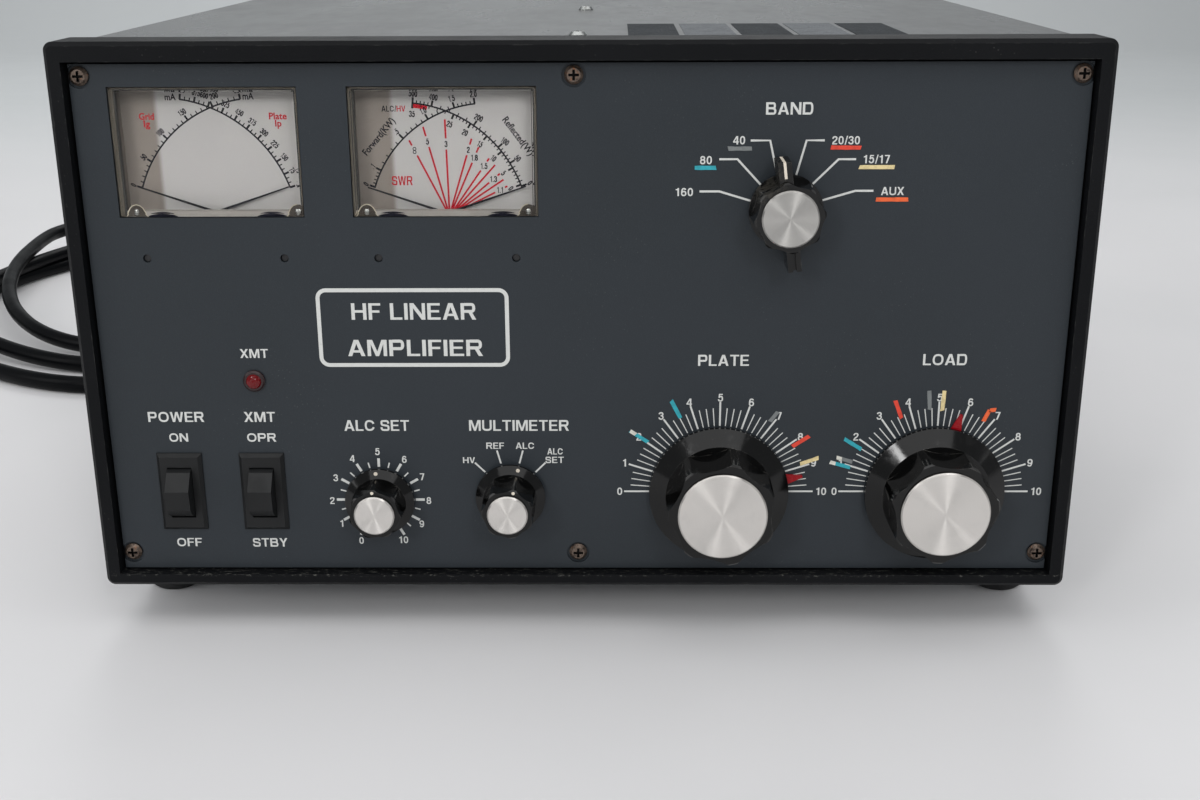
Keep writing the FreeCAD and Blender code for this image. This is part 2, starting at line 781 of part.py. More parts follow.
def make_rear_panel():
    body = new_body("rear_panel")
    outline = sketch_on(body, "rear_outline", "XZ_Plane", f"-{REAR_INSIDE}")
    draw_rectangle(outline, (f"-{HALF_CHASSIS}", HALF_CHASSIS), ("dim.floor_rise", CHASSIS_TOP))
    pad(body, "rear_plate", outline, "dim.sheet_thickness", reverse=True)
    openings = sketch_on(body, "rear_openings", "XZ_Plane", f"-{REAR_INSIDE}")
    for index in range(2):
        height = f"dim.connector_height + {index} * dim.connector_pitch"
        draw_circle(openings, "dim.connector_x", height, "dim.connector_hole_radius")
        height = f"dim.phono_height + {index} * dim.phono_pitch"
        draw_circle(openings, "dim.phono_x", height, "dim.phono_hole_radius")
    draw_circle(openings, "dim.relief_x", "dim.relief_height", "dim.relief_hole_radius")
    draw_circle(openings, "dim.fan_x", "dim.fan_height", "dim.guard_hole_radius")
    pocket(body, "rear_openings_cut", openings, "dim.sheet_thickness")
    for ring in (1, 2, 3, 4):
        hole = sketch_on(
            body, f"guard_ring_{ring}", "XZ_Plane", f"-{REAR_INSIDE}", "dim.fan_x", "dim.fan_height"
        )
        draw_circle(hole, "0", f"{ring} * dim.guard_ring_pitch", "dim.guard_hole_radius")
        cutter = pocket(body, f"guard_hole_{ring}", hole, "dim.sheet_thickness")
        item = body.newObject("PartDesign::PolarPattern", f"guard_holes_{ring}")
        item.Originals = [cutter]
        item.Axis = (hole, ["N_Axis"])
        item.Angle = 360
        item.Occurrences = 6 * ring
        body.Tip = item
    place_node("rear_panel", body)


def make_top_cover():
    body = new_body("top_cover")
    inner = f"({HALF_COVER} - dim.sheet_thickness)"
    ceiling = f"({COVER_TOP} - dim.sheet_thickness)"
    outline = sketch_on(body, "cover_outline", "XZ_Plane", f"-{SUBPANEL_FRONT}")
    draw_outline(
        outline,
        [
            (f"-{HALF_COVER}", "dim.floor_rise"),
            (f"-{inner}", "dim.floor_rise"),
            (f"-{inner}", ceiling),
            (inner, ceiling),
            (inner, "dim.floor_rise"),
            (HALF_COVER, "dim.floor_rise"),
            (HALF_COVER, COVER_TOP),
            (f"-{HALF_COVER}", COVER_TOP),
        ],
    )
    shell = pad(body, "cover_shell", outline, f"dim.cabinet_depth - {SUBPANEL_FRONT}", reverse=True)
    outer_top = size("bezel_height") - size("cover_drop")
    bevel(
        body,
        "cover_bends",
        shell,
        "dim.cover_bend",
        lambda edge: runs_back(edge) and lies_at(edge, "Z", outer_top),
        "Fillet",
    )
    holes = sketch_on(body, "cover_screw_holes", "XY_Plane", COVER_TOP)
    sides = sketch_on(body, "cover_side_holes", "YZ_Plane")
    for index in range(3):
        along = f"dim.cover_screw_front + {index} * dim.cover_screw_pitch"
        draw_circle(holes, "dim.cover_screw_x", along, "dim.screw_hole_radius")
        draw_circle(sides, along, "dim.cover_screw_height", "dim.screw_hole_radius")
    pocket(body, "cover_screw_cut", holes, "dim.sheet_thickness")
    pocket(body, "cover_side_cut", sides, "dim.cabinet_width", midplane=True)
    vent = sketch_on(
        body,
        "vent_hole",
        "XY_Plane",
        COVER_TOP,
        "dim.vent_first_x + dim.vent_margin",
        "dim.vent_front + dim.vent_margin",
    )
    draw_circle(vent, "0", "0", "dim.vent_hole_radius")
    hole = pocket(body, "vent_hole_cut", vent, "dim.sheet_thickness")
    doc.recompute()
    grid = body.newObject("PartDesign::MultiTransform", "vent_grid")
    steps = (
        ("vent_columns", "H_Axis", "dim.vent_hole_pitch_x"),
        ("vent_rows", "V_Axis", "dim.vent_hole_pitch_y"),
        ("vent_patches", "H_Axis", "dim.vent_pitch"),
    )
    patterns = []
    for count, axis, pitch in steps:
        pattern = body.newObject("PartDesign::LinearPattern", f"{count}_pattern")
        pattern.Direction = (vent, [axis])
        pattern.Occurrences = int(size(count))
        pattern.setExpression("Length", f"{pitch} * (dim.{count} - 1)")
        patterns.append(pattern)
    grid.Originals = [hole]
    grid.Transformations = patterns
    body.Tip = grid
    place_node("top_cover", body)


def make_rf_partition():
    low = "dim.partition_x - dim.sheet_thickness / 2"
    high = "dim.partition_x + dim.sheet_thickness / 2"
    depth = (f"{SUBPANEL_BACK} + dim.seat_gap", f"{REAR_INSIDE} - dim.seat_gap")
    wall = block("partition_wall", (low, high), depth, (FLOOR_TOP, CHASSIS_TOP))
    flange = block(
        "partition_flange",
        (low, f"{low} + dim.partition_flange"),
        depth,
        (f"{CHASSIS_TOP} - dim.sheet_thickness", CHASSIS_TOP),
    )
    foot = block(
        "partition_foot",
        (low, f"{low} + dim.partition_flange"),
        depth,
        (FLOOR_TOP, f"{FLOOR_TOP} + dim.sheet_thickness"),
    )
    holes = []
    for index in range(3):
        along = f"dim.cover_screw_front + {index} * dim.cover_screw_pitch"
        start = ("dim.cover_screw_x", along, f"{CHASSIS_TOP} - dim.screw_length")
        length = f"dim.screw_length + {OVERRUN}"
        holes.append(cylinder(f"partition_hole_{index}", "z", start, "dim.screw_hole_radius", length))
    place_node("rf_partition", cut("rf_partition", fuse("partition_sheet", [wall, flange, foot]), holes))


def make_screw(name, length):
    """A cross-recessed pan-head screw along +Y, with the underside of its head at the origin."""
    body = turned(
        name,
        [
            ("0", "-dim.screw_head_height"),
            ("dim.screw_head_radius * 0.7", "-dim.screw_head_height * 0.86"),
            ("dim.screw_head_radius", "-dim.screw_head_height * 0.3"),
            ("dim.screw_head_radius", "0"),
            ("dim.screw_shank_radius", "0"),
            ("dim.screw_shank_radius", length),
            ("0", length),
        ],
    )
    cross = sketch_on(body, f"{name}_cross", "XZ_Plane", "dim.screw_head_height")
    long = "dim.cross_length / 2"
    thin = "dim.cross_width / 2"
    arm = [(thin, long), (thin, thin), (long, thin)]
    draw_outline(
        cross,
        arm
        + [(a, f"-{b}") for a, b in reversed(arm)]
        + [(f"-{a}", f"-{b}") for a, b in arm]
        + [(f"-{a}", b) for a, b in reversed(arm)],
    )
    pocket(body, f"{name}_recess", cross, "dim.cross_depth")
    return body


def make_panel_screws():
    screws = []
    for index, (across, height) in enumerate(SCREWS):
        screw = make_screw(f"panel_screw_{index}", "dim.screw_length")
        place(screw, across, "dim.panel_setback + dim.screw_recess_depth", height)
        screws.append(screw)
    place_node("panel_screws", group("panel_screws", screws))


def make_cover_screws():
    """Three screws down the middle of the top and three along the foot of each side."""
    screws = []
    for index in range(3):
        along = f"dim.cover_screw_front + {index} * dim.cover_screw_pitch"
        spots = (
            ("top", (1, 0, 0), -90, ("dim.cover_screw_x", along, COVER_TOP)),
            ("left", (0, 0, 1), -90, (f"-{HALF_COVER}", along, "dim.cover_screw_height")),
            ("right", (0, 0, 1), 90, (HALF_COVER, along, "dim.cover_screw_height")),
        )
        for side, axis, degrees, spot in spots:
            screw = make_screw(f"cover_screw_{side}_{index}", "dim.screw_length")
            screw.Placement.Rotation = FreeCAD.Rotation(FreeCAD.Vector(*axis), degrees)
            place(screw, *spot)
            screws.append(screw)
    place_node("cover_screws", group("cover_screws", screws))


def make_rubber_feet():
    feet = []
    for across in (f"-{FOOT_SIDE}", FOOT_SIDE):
        for along in ("dim.foot_from_front", "dim.cabinet_depth - dim.foot_from_front"):
            foot = turned(
                f"foot_{len(feet)}",
                [
                    ("dim.foot_recess_radius", "-dim.foot_height"),
                    ("dim.foot_base_radius - dim.foot_chamfer", "-dim.foot_height"),
                    ("dim.foot_base_radius", "-dim.foot_height + dim.foot_chamfer"),
                    ("dim.foot_top_radius", "dim.floor_rise"),
                    ("0", "dim.floor_rise"),
                    ("0", "-dim.foot_height + dim.foot_recess_depth"),
                    ("dim.foot_recess_radius", "-dim.foot_height + dim.foot_recess_depth"),
                ],
                "XZ_Plane",
            )
            place(foot, across, along)
            feet.append(foot)
    place_node("rubber_feet", group("rubber_feet", feet))


# ---------------------------------------------------------------- meters


def make_meter(side, needles):
    """One twin-needle meter: housing, dial, clear window and two needles, drawn about its own centre line."""
    centre = f"dim.{side}_meter_x"
    offset = f"dim.{side}_movement_offset"
    front = f"({PANEL_BACK} + dim.seat_gap)"
    back = f"({front} + dim.meter_case_depth)"
    half = "dim.meter_case_width / 2"
    top = "(dim.meter_height + dim.window_height / 2 + dim.seat_gap)"
    movement_front = "(dim.dial_front + dim.dial_thickness)"
    adjuster_front = "dim.panel_setback + dim.adjuster_setback"
    shell = block(f"{side}_case_block", (f"-{half}", half), (front, back), (CASE_BOTTOM, top))
    cavity = block(
        f"{side}_case_cavity",
        (f"-{half} + dim.meter_wall", f"{half} - dim.meter_wall"),
        (f"{front} + dim.meter_wall", f"{back} - dim.meter_wall"),
        (f"{CASE_BOTTOM} + dim.meter_wall", f"{top} - dim.meter_wall"),
    )
    view = "(dim.window_width / 2 - dim.meter_rim)"
    tall = "(dim.window_height / 2 - dim.meter_rim)"
    opening = block(
        f"{side}_case_opening",
        (f"-{view}", view),
        (f"{front} - {OVERRUN}", f"{front} + dim.meter_wall + {OVERRUN}"),
        (f"dim.meter_height - {tall}", f"dim.meter_height + {tall}"),
    )
    hollow = cut(f"{side}_case_shell", shell, [cavity, opening])
    extras = []
    holes = []
    for index, sign in enumerate(("-", "")):
        at = f"{sign}{offset}"
        extras.append(
            cylinder(
                f"{side}_movement_{index}",
                "y",
                (at, movement_front, MOVEMENT_HEIGHT),
                "dim.movement_radius",
                f"{back} - dim.meter_wall / 2 - {movement_front}",
            )
        )
        extras.append(
            cylinder(
                f"{side}_adjuster_{index}",
                "y",
                (f"{sign}dim.adjuster_x", adjuster_front, ADJUSTER_HEIGHT),
                "dim.adjuster_radius",
                f"{front} - ({adjuster_front}) + {OVERRUN}",
            )
        )
        holes.append(
            cylinder(
                f"{side}_spindle_hole_{index}",
                "y",
                (at, f"{movement_front} - {OVERRUN}", MOVEMENT_HEIGHT),
                "dim.spindle_radius + dim.running_clearance",
                f"dim.spindle_reach + {OVERRUN} + dim.seat_gap",
            )
        )
    whole = fuse(f"{side}_case_whole", [hollow] + extras)
    place_node(f"{side}_meter_case", cut(f"{side}_meter_case", whole, holes), centre)

    dial = new_body(f"{side}_meter_dial")
    dial_half = "(dim.meter_case_width / 2 - dim.meter_wall - dim.seat_gap)"
    face = sketch_on(dial, f"{side}_dial_outline", "XZ_Plane", "-dim.dial_front")
    draw_rectangle(
        face,
        (f"-{dial_half}", dial_half),
        (
            "dim.meter_height - dim.window_height / 2 - dim.dial_overlap",
            f"{top} - dim.meter_wall - dim.seat_gap",
        ),
    )
    pad(dial, f"{side}_dial_plate", face, "dim.dial_thickness", reverse=True)
    place_node(f"{side}_meter_dial", dial, centre)

    window = new_body(f"{side}_meter_window")
    pane_half = "(dim.window_width / 2 - dim.window_clearance)"
    pane_tall = "(dim.window_height / 2 - dim.window_clearance)"
    pane = sketch_on(window, f"{side}_pane_outline", "XZ_Plane", "-dim.window_front")
    draw_rectangle(
        pane,
        (f"-{pane_half}", pane_half),
        (f"dim.meter_height - {pane_tall}", f"dim.meter_height + {pane_tall}"),
    )
    glass = pad(window, f"{side}_pane", pane, f"{PANEL_BACK} - dim.window_front", reverse=True)
    bevel(
        window,
        f"{side}_pane_bevel",
        glass,
        "dim.window_bevel",
        lambda edge: lies_at(edge, "Y", size("window_front")),
    )
    place_node(f"{side}_meter_window", window, centre)

    for label, sign, layer in needles:
        make_needle(label, f"{centre} {'+' if sign < 0 else '-'} {offset}", sign, layer)


def make_needle(label, across, sign, layer):
    """A needle at its zero mark, drawn upright and then laid over to the zero angle."""
    body = new_body(f"{label}_blade")
    front = f"(dim.needle_hub_front + {layer} * (dim.needle_hub_length - dim.needle_thickness))"
    outline = sketch_on(body, f"{label}_outline", "XZ_Plane", f"-{front}")
    draw_outline(
        outline,
        [
            ("-dim.needle_base", "-dim.needle_tail"),
            ("dim.needle_base", "-dim.needle_tail"),
            ("dim.needle_base / 2", "0"),
            ("dim.needle_tip / 2", "dim.needle_length"),
            ("-dim.needle_tip / 2", "dim.needle_length"),
            ("-dim.needle_base / 2", "0"),
        ],
    )
    pad(body, f"{label}_blade_pad", outline, "dim.needle_thickness", reverse=True)
    start = ("0", "dim.needle_hub_front", "0")
    hub = cylinder(f"{label}_hub", "y", start, "dim.needle_hub_radius", "dim.needle_hub_length")
    end = "(dim.dial_front + dim.dial_thickness + dim.spindle_reach)"
    spindle = cylinder(
        f"{label}_spindle",
        "y",
        ("0", f"dim.needle_hub_front + {OVERRUN}", "0"),
        "dim.spindle_radius",
        f"{end} - dim.needle_hub_front - {OVERRUN}",
    )
    whole = fuse(label, [body, hub, spindle])
    turn = (FreeCAD.Vector(0, 1, 0), sign * size("needle_zero_angle"))
    place_node(label, whole, across, MOVEMENT_HEIGHT, turn=turn)


# ---------------------------------------------------------------- switches and lamp


def make_switch(name, rocker):
    across = f"dim.{name}_switch_x"
    body = new_body(f"{name}_switch_frame")
    front = "(dim.panel_setback - dim.switch_flange_thickness)"
    flange = sketch_on(body, f"{name}_flange_outline", "XZ_Plane", f"-{front}")
    wide = "dim.switch_flange_width / 2"
    tall = "dim.switch_flange_height / 2"
    draw_rectangle(flange, (f"-{wide}", wide), (f"-{tall}", tall))
    plate = pad(body, f"{name}_flange", flange, "dim.switch_flange_thickness", reverse=True)
    bevel(
        body,
        f"{name}_flange_bevel",
        plate,
        "dim.switch_flange_bevel",
        lambda edge: lies_at(edge, "Y", size("panel_setback") - size("switch_flange_thickness")),
    )
    housing = sketch_on(body, f"{name}_housing_outline", "XZ_Plane", "-dim.panel_setback")
    wide = "dim.switch_body_width / 2"
    tall = "dim.switch_body_height / 2"
    draw_rectangle(housing, (f"-{wide}", wide), (f"-{tall}", tall))
    pad(body, f"{name}_housing", housing, "dim.switch_body_depth", reverse=True)
    blades = sketch_on(
        body, f"{name}_blade_outlines", "XZ_Plane", "-dim.panel_setback - dim.switch_body_depth"
    )
    wide = "dim.switch_blade_width / 2"
    thin = "dim.switch_blade_thickness / 2"
    for step in (-1, 0, 1):
        height = f"{step} * dim.switch_blade_pitch"
        draw_rectangle(blades, (f"-{wide}", wide), (f"{height} - {thin}", f"{height} + {thin}"))
    pad(body, f"{name}_blades", blades, "dim.switch_blade_length", reverse=True)
    opening = sketch_on(body, f"{name}_opening", "XZ_Plane", f"-{front}")
    wide = "dim.switch_opening_width / 2"
    tall = "dim.switch_opening_height / 2"
    draw_rectangle(opening, (f"-{wide}", wide), (f"-{tall}", tall))
    depth = "dim.switch_flange_thickness + dim.switch_body_depth - dim.switch_back_wall"
    pocket(body, f"{name}_opening_cut", opening, depth)
    pivot = sketch_on(body, f"{name}_pivot", "YZ_Plane")
    draw_circle(pivot, "dim.rocker_pivot_depth", "0", "dim.rocker_pin_radius + dim.running_clearance")
    length = "dim.rocker_width + 2 * dim.rocker_pin_length + 2 * dim.seat_gap"
    pocket(body, f"{name}_pivot_cut", pivot, length, midplane=True)
    place_node(f"{name}_switch_frame", body, across, "dim.switch_height")

    wide = "dim.rocker_width / 2"
    drum = cylinder(f"{rocker}_drum", "x", (f"-{wide}", "0", "0"), "dim.rocker_radius", "dim.rocker_width")
    wedge = new_body(f"{rocker}_wedge")
    outline = sketch_on(wedge, f"{rocker}_outline", "YZ_Plane")
    edge = "-dim.rocker_ridge + dim.rocker_radius * tan(dim.rocker_face_slope)"
    draw_outline(
        outline,
        [
            ("-dim.rocker_ridge", "0"),
            (edge, "dim.rocker_radius"),
            ("dim.rocker_back", "dim.rocker_radius"),
            ("dim.rocker_back", "-dim.rocker_radius"),
            (edge, "-dim.rocker_radius"),
        ],
    )
    pad(wedge, f"{rocker}_wedge_pad", outline, "dim.rocker_width", midplane=True)
    shape = doc.addObject("Part::MultiCommon", f"{rocker}_shape")
    shape.Shapes = [drum, wedge]
    pin_end = f"({wide} + dim.rocker_pin_length)"
    pin = cylinder(f"{rocker}_pin", "x", (f"-{pin_end}", "0", "0"), "dim.rocker_pin_radius", f"2 * {pin_end}")
    turn = (FreeCAD.Vector(1, 0, 0), -size("rocker_tilt"))
    item = fuse(rocker, [shape, pin])
    place_node(rocker, item, across, "dim.switch_height", "dim.rocker_pivot_depth", turn)


def make_lamp():
    front = "(dim.panel_setback - dim.lamp_flange_thickness)"
    end = "(dim.panel_setback + dim.lamp_body_depth)"
    bore = "dim.lamp_lens_radius + dim.running_clearance"
    bezel = turned(
        "lamp_bezel",
        [
            (bore, front),
            ("dim.lamp_flange_radius - dim.lamp_flange_chamfer", front),
            ("dim.lamp_flange_radius", f"{front} + dim.lamp_flange_chamfer"),
            ("dim.lamp_flange_radius", "dim.panel_setback"),
            ("dim.lamp_body_radius", "dim.panel_setback"),
            ("dim.lamp_body_radius", end),
            (bore, end),
        ],
    )
    place_node("lamp_bezel", bezel, "dim.lamp_x", "dim.lamp_height")
    tip = f"({front} - dim.lamp_lens_dome)"
    lens = turned(
        "lamp_lens",
        [
            ("0", tip),
            ("dim.lamp_lens_radius * 0.5", f"{tip} + dim.lamp_lens_dome * 0.16"),
            ("dim.lamp_lens_radius * 0.85", f"{tip} + dim.lamp_lens_dome * 0.52"),
            ("dim.lamp_lens_radius", front),
            ("dim.lamp_lens_radius", f"{end} - dim.lamp_lens_setback"),
            ("0", f"{end} - dim.lamp_lens_setback"),
        ],
    )
    place_node("lamp_lens", lens, "dim.lamp_x", "dim.lamp_height")


# ---------------------------------------------------------------- knobs


def make_knob(name, family, shaft, skirted=True):
    """A fluted knob on its shaft, and the metal cap let into its face. family names the knob's size."""
    front = f"(-dim.{name}_reach + dim.cap_thickness)"
    bore_end = f"{front} + dim.knob_face"
    body_back = f"dim.{family}_body_back_radius"
    if skirted:
        skirt = f"dim.{family}_skirt_radius"
        flange = [(skirt, "dim.knob_back"), (skirt, f"dim.knob_back - dim.{family}_skirt_thickness")]
        shoulder = f"(dim.knob_back - dim.{family}_skirt_height)"
    else:
        flange = [(body_back, "dim.knob_back")]
        shoulder = "(dim.knob_back - dim.knob_rim)"
    bore = f"dim.{shaft}_shaft_radius + dim.running_clearance / 2"
    body = turned(
        f"{name}_knob_body",
        [
            (bore, "dim.knob_back"),
            *flange,
            (body_back, shoulder),
            (f"dim.{family}_body_front_radius", f"{front} + dim.knob_edge"),
            (f"dim.{family}_body_front_radius - dim.knob_edge", front),
            ("0", front),
            ("0", bore_end),
            (bore, bore_end),
        ],
    )
    flute = sketch_on(body, f"{name}_flute", "XZ_Plane", f"-{front}")
    half_pitch = f"180 / dim.{family}_flutes"
    draw_circle(
        flute,
        f"dim.{family}_flute_centre * sin({half_pitch})",
        f"dim.{family}_flute_centre * cos({half_pitch})",
        f"dim.{family}_flute_radius",
    )
    groove = pocket(body, f"{name}_flute_cut", flute, f"{shoulder} - {front}")
    around(body, f"{name}_flutes", groove, flute, f"{family}_flutes")
    edge = f"{front} - dim.cap_thickness"
    cap = turned(
        f"{name}_knob_cap",
        [
            ("0", edge),
            (f"dim.{family}_cap_radius - dim.cap_edge", edge),
            (f"dim.{family}_cap_radius", f"{edge} + dim.cap_edge"),
            (f"dim.{family}_cap_radius", front),
            ("0", front),
        ],
    )
    return body, cap


def rest_turn(name):
    """How a knob stands on its shaft: one of its ridges lies at the angle named in the sheet."""
    return FreeCAD.Vector(0, 1, 0), size(f"{name}_rest_angle")


def make_small_controls():
    for name in ("alc", "multimeter"):
        across = f"dim.{name}_x"
        height = f"dim.{name}_height"
        body, cap = make_knob(name, "small", "control")
        place_node(f"{name}_knob", body, across, height, turn=rest_turn(name))
        place_node(f"{name}_knob_cap", cap, across, height)


def make_band_knob():
    body, cap = make_knob("band", "band", "tuning", skirted=False)
    wide = "dim.band_bar_width / 2"
    long = "dim.band_bar_length / 2"
    bar_front = "-dim.band_reach + dim.band_bar_setback"
    bar = block(
        "band_bar",
        (f"-{wide}", wide),
        (bar_front, "dim.knob_back"),
        (f"-{long}", long),
    )
    bore = cylinder(
        "band_bar_bore",
        "y",
        ("0", "-dim.band_reach + dim.cap_thickness + dim.knob_face", "0"),
        "dim.tuning_shaft_radius + dim.running_clearance / 2",
        "dim.band_reach + dim.knob_back",
    )
    slot = block(
        "band_bar_slot",
        ("-dim.band_slot_width / 2", "dim.band_slot_width / 2"),
        (f"{bar_front} - {OVERRUN}", f"{bar_front} + dim.band_slot_depth"),
        (f"-{long} - {OVERRUN}", "-dim.band_body_front_radius"),
    )
    knob = fuse("band_knob", [body, cut("band_bar_bored", bar, [bore, slot])])
    place_node("band_knob", knob, "dim.band_x", "dim.band_height", turn=rest_turn("band"))
    place_node("band_knob_cap", cap, "dim.band_x", "dim.band_height")


def make_tuning_knobs():
    """The knob's spindle runs through the pointer's sleeve into the reduction drive."""
    for name in ("plate", "load"):
        body, cap = make_knob(name, "tuning", "tuning")
        front = f"(-dim.{name}_reach + dim.cap_thickness + dim.knob_face - {OVERRUN})"
        spindle = cylinder(
            f"{name}_spindle",
            "y",
            ("0", front, "0"),
            "dim.tuning_shaft_radius",
            f"dim.sleeve_end - dim.sleeve_end_wall - dim.seat_gap - {front}",
        )
        plug = cylinder(
            f"{name}_spindle_insert",
            "y",
            ("0", front, "0"),
            f"dim.tuning_shaft_radius + {OVERRUN}",
            f"dim.knob_back - {front}",
        )
        knob = fuse(f"{name}_knob", [body, spindle, plug])
        place_node(f"{name}_knob", knob, f"dim.{name}_x", f"dim.{name}_height", turn=rest_turn(name))
        place_node(f"{name}_knob_cap", cap, f"dim.{name}_x", f"dim.{name}_height")


# ---------------------------------------------------------------- controls behind the panel


def make_control_shaft(name, end, radius="dim.control_shaft_radius"):
    front = f"(-dim.{name}_reach + dim.cap_thickness + dim.knob_face + dim.seat_gap)"
    shaft = turned(
        f"{name}_shaft",
        [("0", front), (radius, front), (radius, end), ("0", end)],
    )
    place_node(f"{name}_shaft", shaft, f"dim.{name}_x", f"dim.{name}_height")


def make_hex_nut(name):
    nut = doc.addObject("Part::Prism", name)
    nut.Polygon = 6
    nut.setExpression("Circumradius", "dim.nut_radius")
    nut.setExpression("Height", "dim.nut_thickness")
    nut.Placement.Rotation = FreeCAD.Rotation(FreeCAD.Vector(1, 0, 0), -90)
    place(nut, "0", f"{SUBPANEL_FRONT} - dim.nut_thickness")
    return nut


def bushed_housing(name, radius, depth, bore, bore_end):
    """A round housing behind the sub-panel, with a bush and nut that clamp it there."""
    housing = cylinder(f"{name}_can", "y", ("0", SUBPANEL_BACK, "0"), radius, depth)
    bush = cylinder(
        f"{name}_bush",
        "y",
        ("0", "dim.bush_front", "0"),
        "dim.bush_radius",
        f"{SUBPANEL_BACK} - dim.bush_front + {OVERRUN}",
    )
    hole = cylinder(
        f"{name}_bore",
        "y",
        ("0", f"dim.bush_front - {OVERRUN}", "0"),
        f"{bore} + dim.running_clearance",
        f"{bore_end} - dim.bush_front + {OVERRUN}",
    )
    return [housing, bush, make_hex_nut(f"{name}_nut")], hole


def make_potentiometer():
    end = f"({SUBPANEL_BACK} + dim.potentiometer_depth - dim.potentiometer_back_wall)"
    parts, hole = bushed_housing(
        "alc_potentiometer",
        "dim.potentiometer_radius",
        "dim.potentiometer_depth",
        "dim.control_shaft_radius",
        end,
    )
    tags = [
        block(
            f"alc_tag_{index}",
            (
                f"{step} * dim.tag_pitch - dim.tag_width / 2",
                f"{step} * dim.tag_pitch + dim.tag_width / 2",
            ),
            (f"{SUBPANEL_BACK} + dim.tag_width", f"{SUBPANEL_BACK} + dim.tag_width + dim.tag_thickness"),
            ("dim.potentiometer_radius - dim.tag_root", "dim.potentiometer_radius + dim.tag_reach"),
        )
        for index, step in enumerate((-1, 0, 1))
    ]
    item = cut("alc_potentiometer", fuse("alc_potentiometer_whole", parts + tags), [hole])
    place_node("alc_potentiometer", item, "dim.alc_x", "dim.alc_height")
    make_control_shaft("alc", f"{end} - dim.seat_gap")


def make_multimeter_switch():
    end = f"({SUBPANEL_BACK} + dim.rotary_switch_depth + {OVERRUN})"
    parts, hole = bushed_housing(
        "multimeter_switch",
        "dim.rotary_switch_radius",
        "dim.rotary_switch_depth / 2",
        "dim.control_shaft_radius",
        end,
    )
    wafer = cylinder(
        "multimeter_wafer",
        "y",
        ("0", f"{SUBPANEL_BACK} + dim.rotary_switch_depth - dim.wafer_thickness", "0"),
        "dim.rotary_switch_radius",
        "dim.wafer_thickness",
    )
    rods = [
        cylinder(
            f"multimeter_rod_{side}",
            "y",
            (
                f"{side} * (dim.rotary_switch_radius - dim.switch_rod_inset)",
                f"{SUBPANEL_BACK} + {OVERRUN}",
                "0",
            ),
            "dim.wafer_rod_radius",
            f"dim.rotary_switch_depth - {OVERRUN}",
        )
        for side in (-1, 1)
    ]
    item = cut("multimeter_switch", fuse("multimeter_switch_whole", parts + [wafer] + rods), [hole])
    place_node("multimeter_switch", item, "dim.multimeter_x", "dim.multimeter_height")
    make_control_shaft("multimeter", f"{end} - dim.seat_gap")


def make_band_switch():
    stack = "dim.wafer_count * dim.wafer_pitch + dim.wafer_thickness"
    end = f"({SUBPANEL_BACK} + {stack} + dim.switch_shaft_reach)"
    parts, hole = bushed_housing(
        "band_switch",
        "dim.band_switch_radius",
        "dim.band_switch_depth",
        "dim.tuning_shaft_radius",
        f"{end} + {OVERRUN}",
    )
    for index in range(1, int(size("wafer_count")) + 1):
        parts.append(
            cylinder(
                f"band_wafer_{index}",
                "y",
                ("0", f"{SUBPANEL_BACK} + {index} * dim.wafer_pitch", "0"),
                "dim.wafer_radius",
                "dim.wafer_thickness",
            )
        )
    for side in (-1, 1):
        parts.append(
            cylinder(
                f"band_rod_{side}",
                "y",
                (f"{side} * dim.wafer_rod_offset", f"{SUBPANEL_BACK} + {OVERRUN}", "0"),
                "dim.wafer_rod_radius",
                f"{stack} + {OVERRUN}",
            )
        )
    item = cut("band_switch_wafers", fuse("band_switch_whole", parts), [hole])
    place_node("band_switch_wafers", item, "dim.band_x", "dim.band_height")
    make_control_shaft("band", end, "dim.tuning_shaft_radius")


def make_pointer(name):
    """A red pointer on the sleeve that the reduction drive turns."""
    body = new_body(f"{name}_pointer_blade")
    outline = sketch_on(body, f"{name}_pointer_outline", "XZ_Plane", "-dim.pointer_front")
    draw_outline(
        outline,
        [
            ("-dim.pointer_half_width", "0"),
            ("dim.pointer_half_width", "0"),
            ("dim.pointer_tip_half_width", "dim.pointer_tip_radius"),
            ("-dim.pointer_tip_half_width", "dim.pointer_tip_radius"),
        ],
    )
    pad(body, f"{name}_pointer_arm", outline, "dim.pointer_thickness", reverse=True)
    front = ("0", "dim.pointer_front", "0")
    disc = cylinder(f"{name}_pointer_disc", "y", front, "dim.pointer_disc_radius", "dim.pointer_thickness")
    sleeve = cylinder(
        f"{name}_sleeve", "y", front, "dim.sleeve_radius", "dim.sleeve_end - dim.pointer_front"
    )
    bore = cylinder(
        f"{name}_sleeve_bore",
        "y",
        ("0", f"dim.pointer_front - {OVERRUN}", "0"),
        "dim.tuning_shaft_radius + dim.running_clearance",
        f"dim.sleeve_end - dim.sleeve_end_wall - dim.pointer_front + {OVERRUN}",
    )
    item = cut(f"{name}_pointer", fuse(f"{name}_pointer_whole", [body, disc, sleeve]), [bore])
    turn = (FreeCAD.Vector(0, 1, 0), size(f"{name}_pointer_angle"))
    place_node(f"{name}_pointer", item, f"dim.{name}_x", f"dim.{name}_height", turn=turn)


def make_vernier_drives():
    drives = []
    for name in ("plate", "load"):
        bore = "dim.sleeve_radius + dim.running_clearance"
        step = f"{SUBPANEL_FRONT} - dim.drive_flange_thickness"
        drive = turned(
            f"{name}_drive",
            [
                (bore, "dim.drive_front"),
                ("dim.drive_nose_radius", "dim.drive_front"),
                ("dim.drive_nose_radius", step),
                ("dim.drive_flange_radius", step),
                ("dim.drive_flange_radius", SUBPANEL_FRONT),
                (bore, SUBPANEL_FRONT),
            ],
        )
        place(drive, f"dim.{name}_x", "0", f"dim.{name}_height")
        drives.append(drive)
    place_node("vernier_drives", group("vernier_drives", drives))


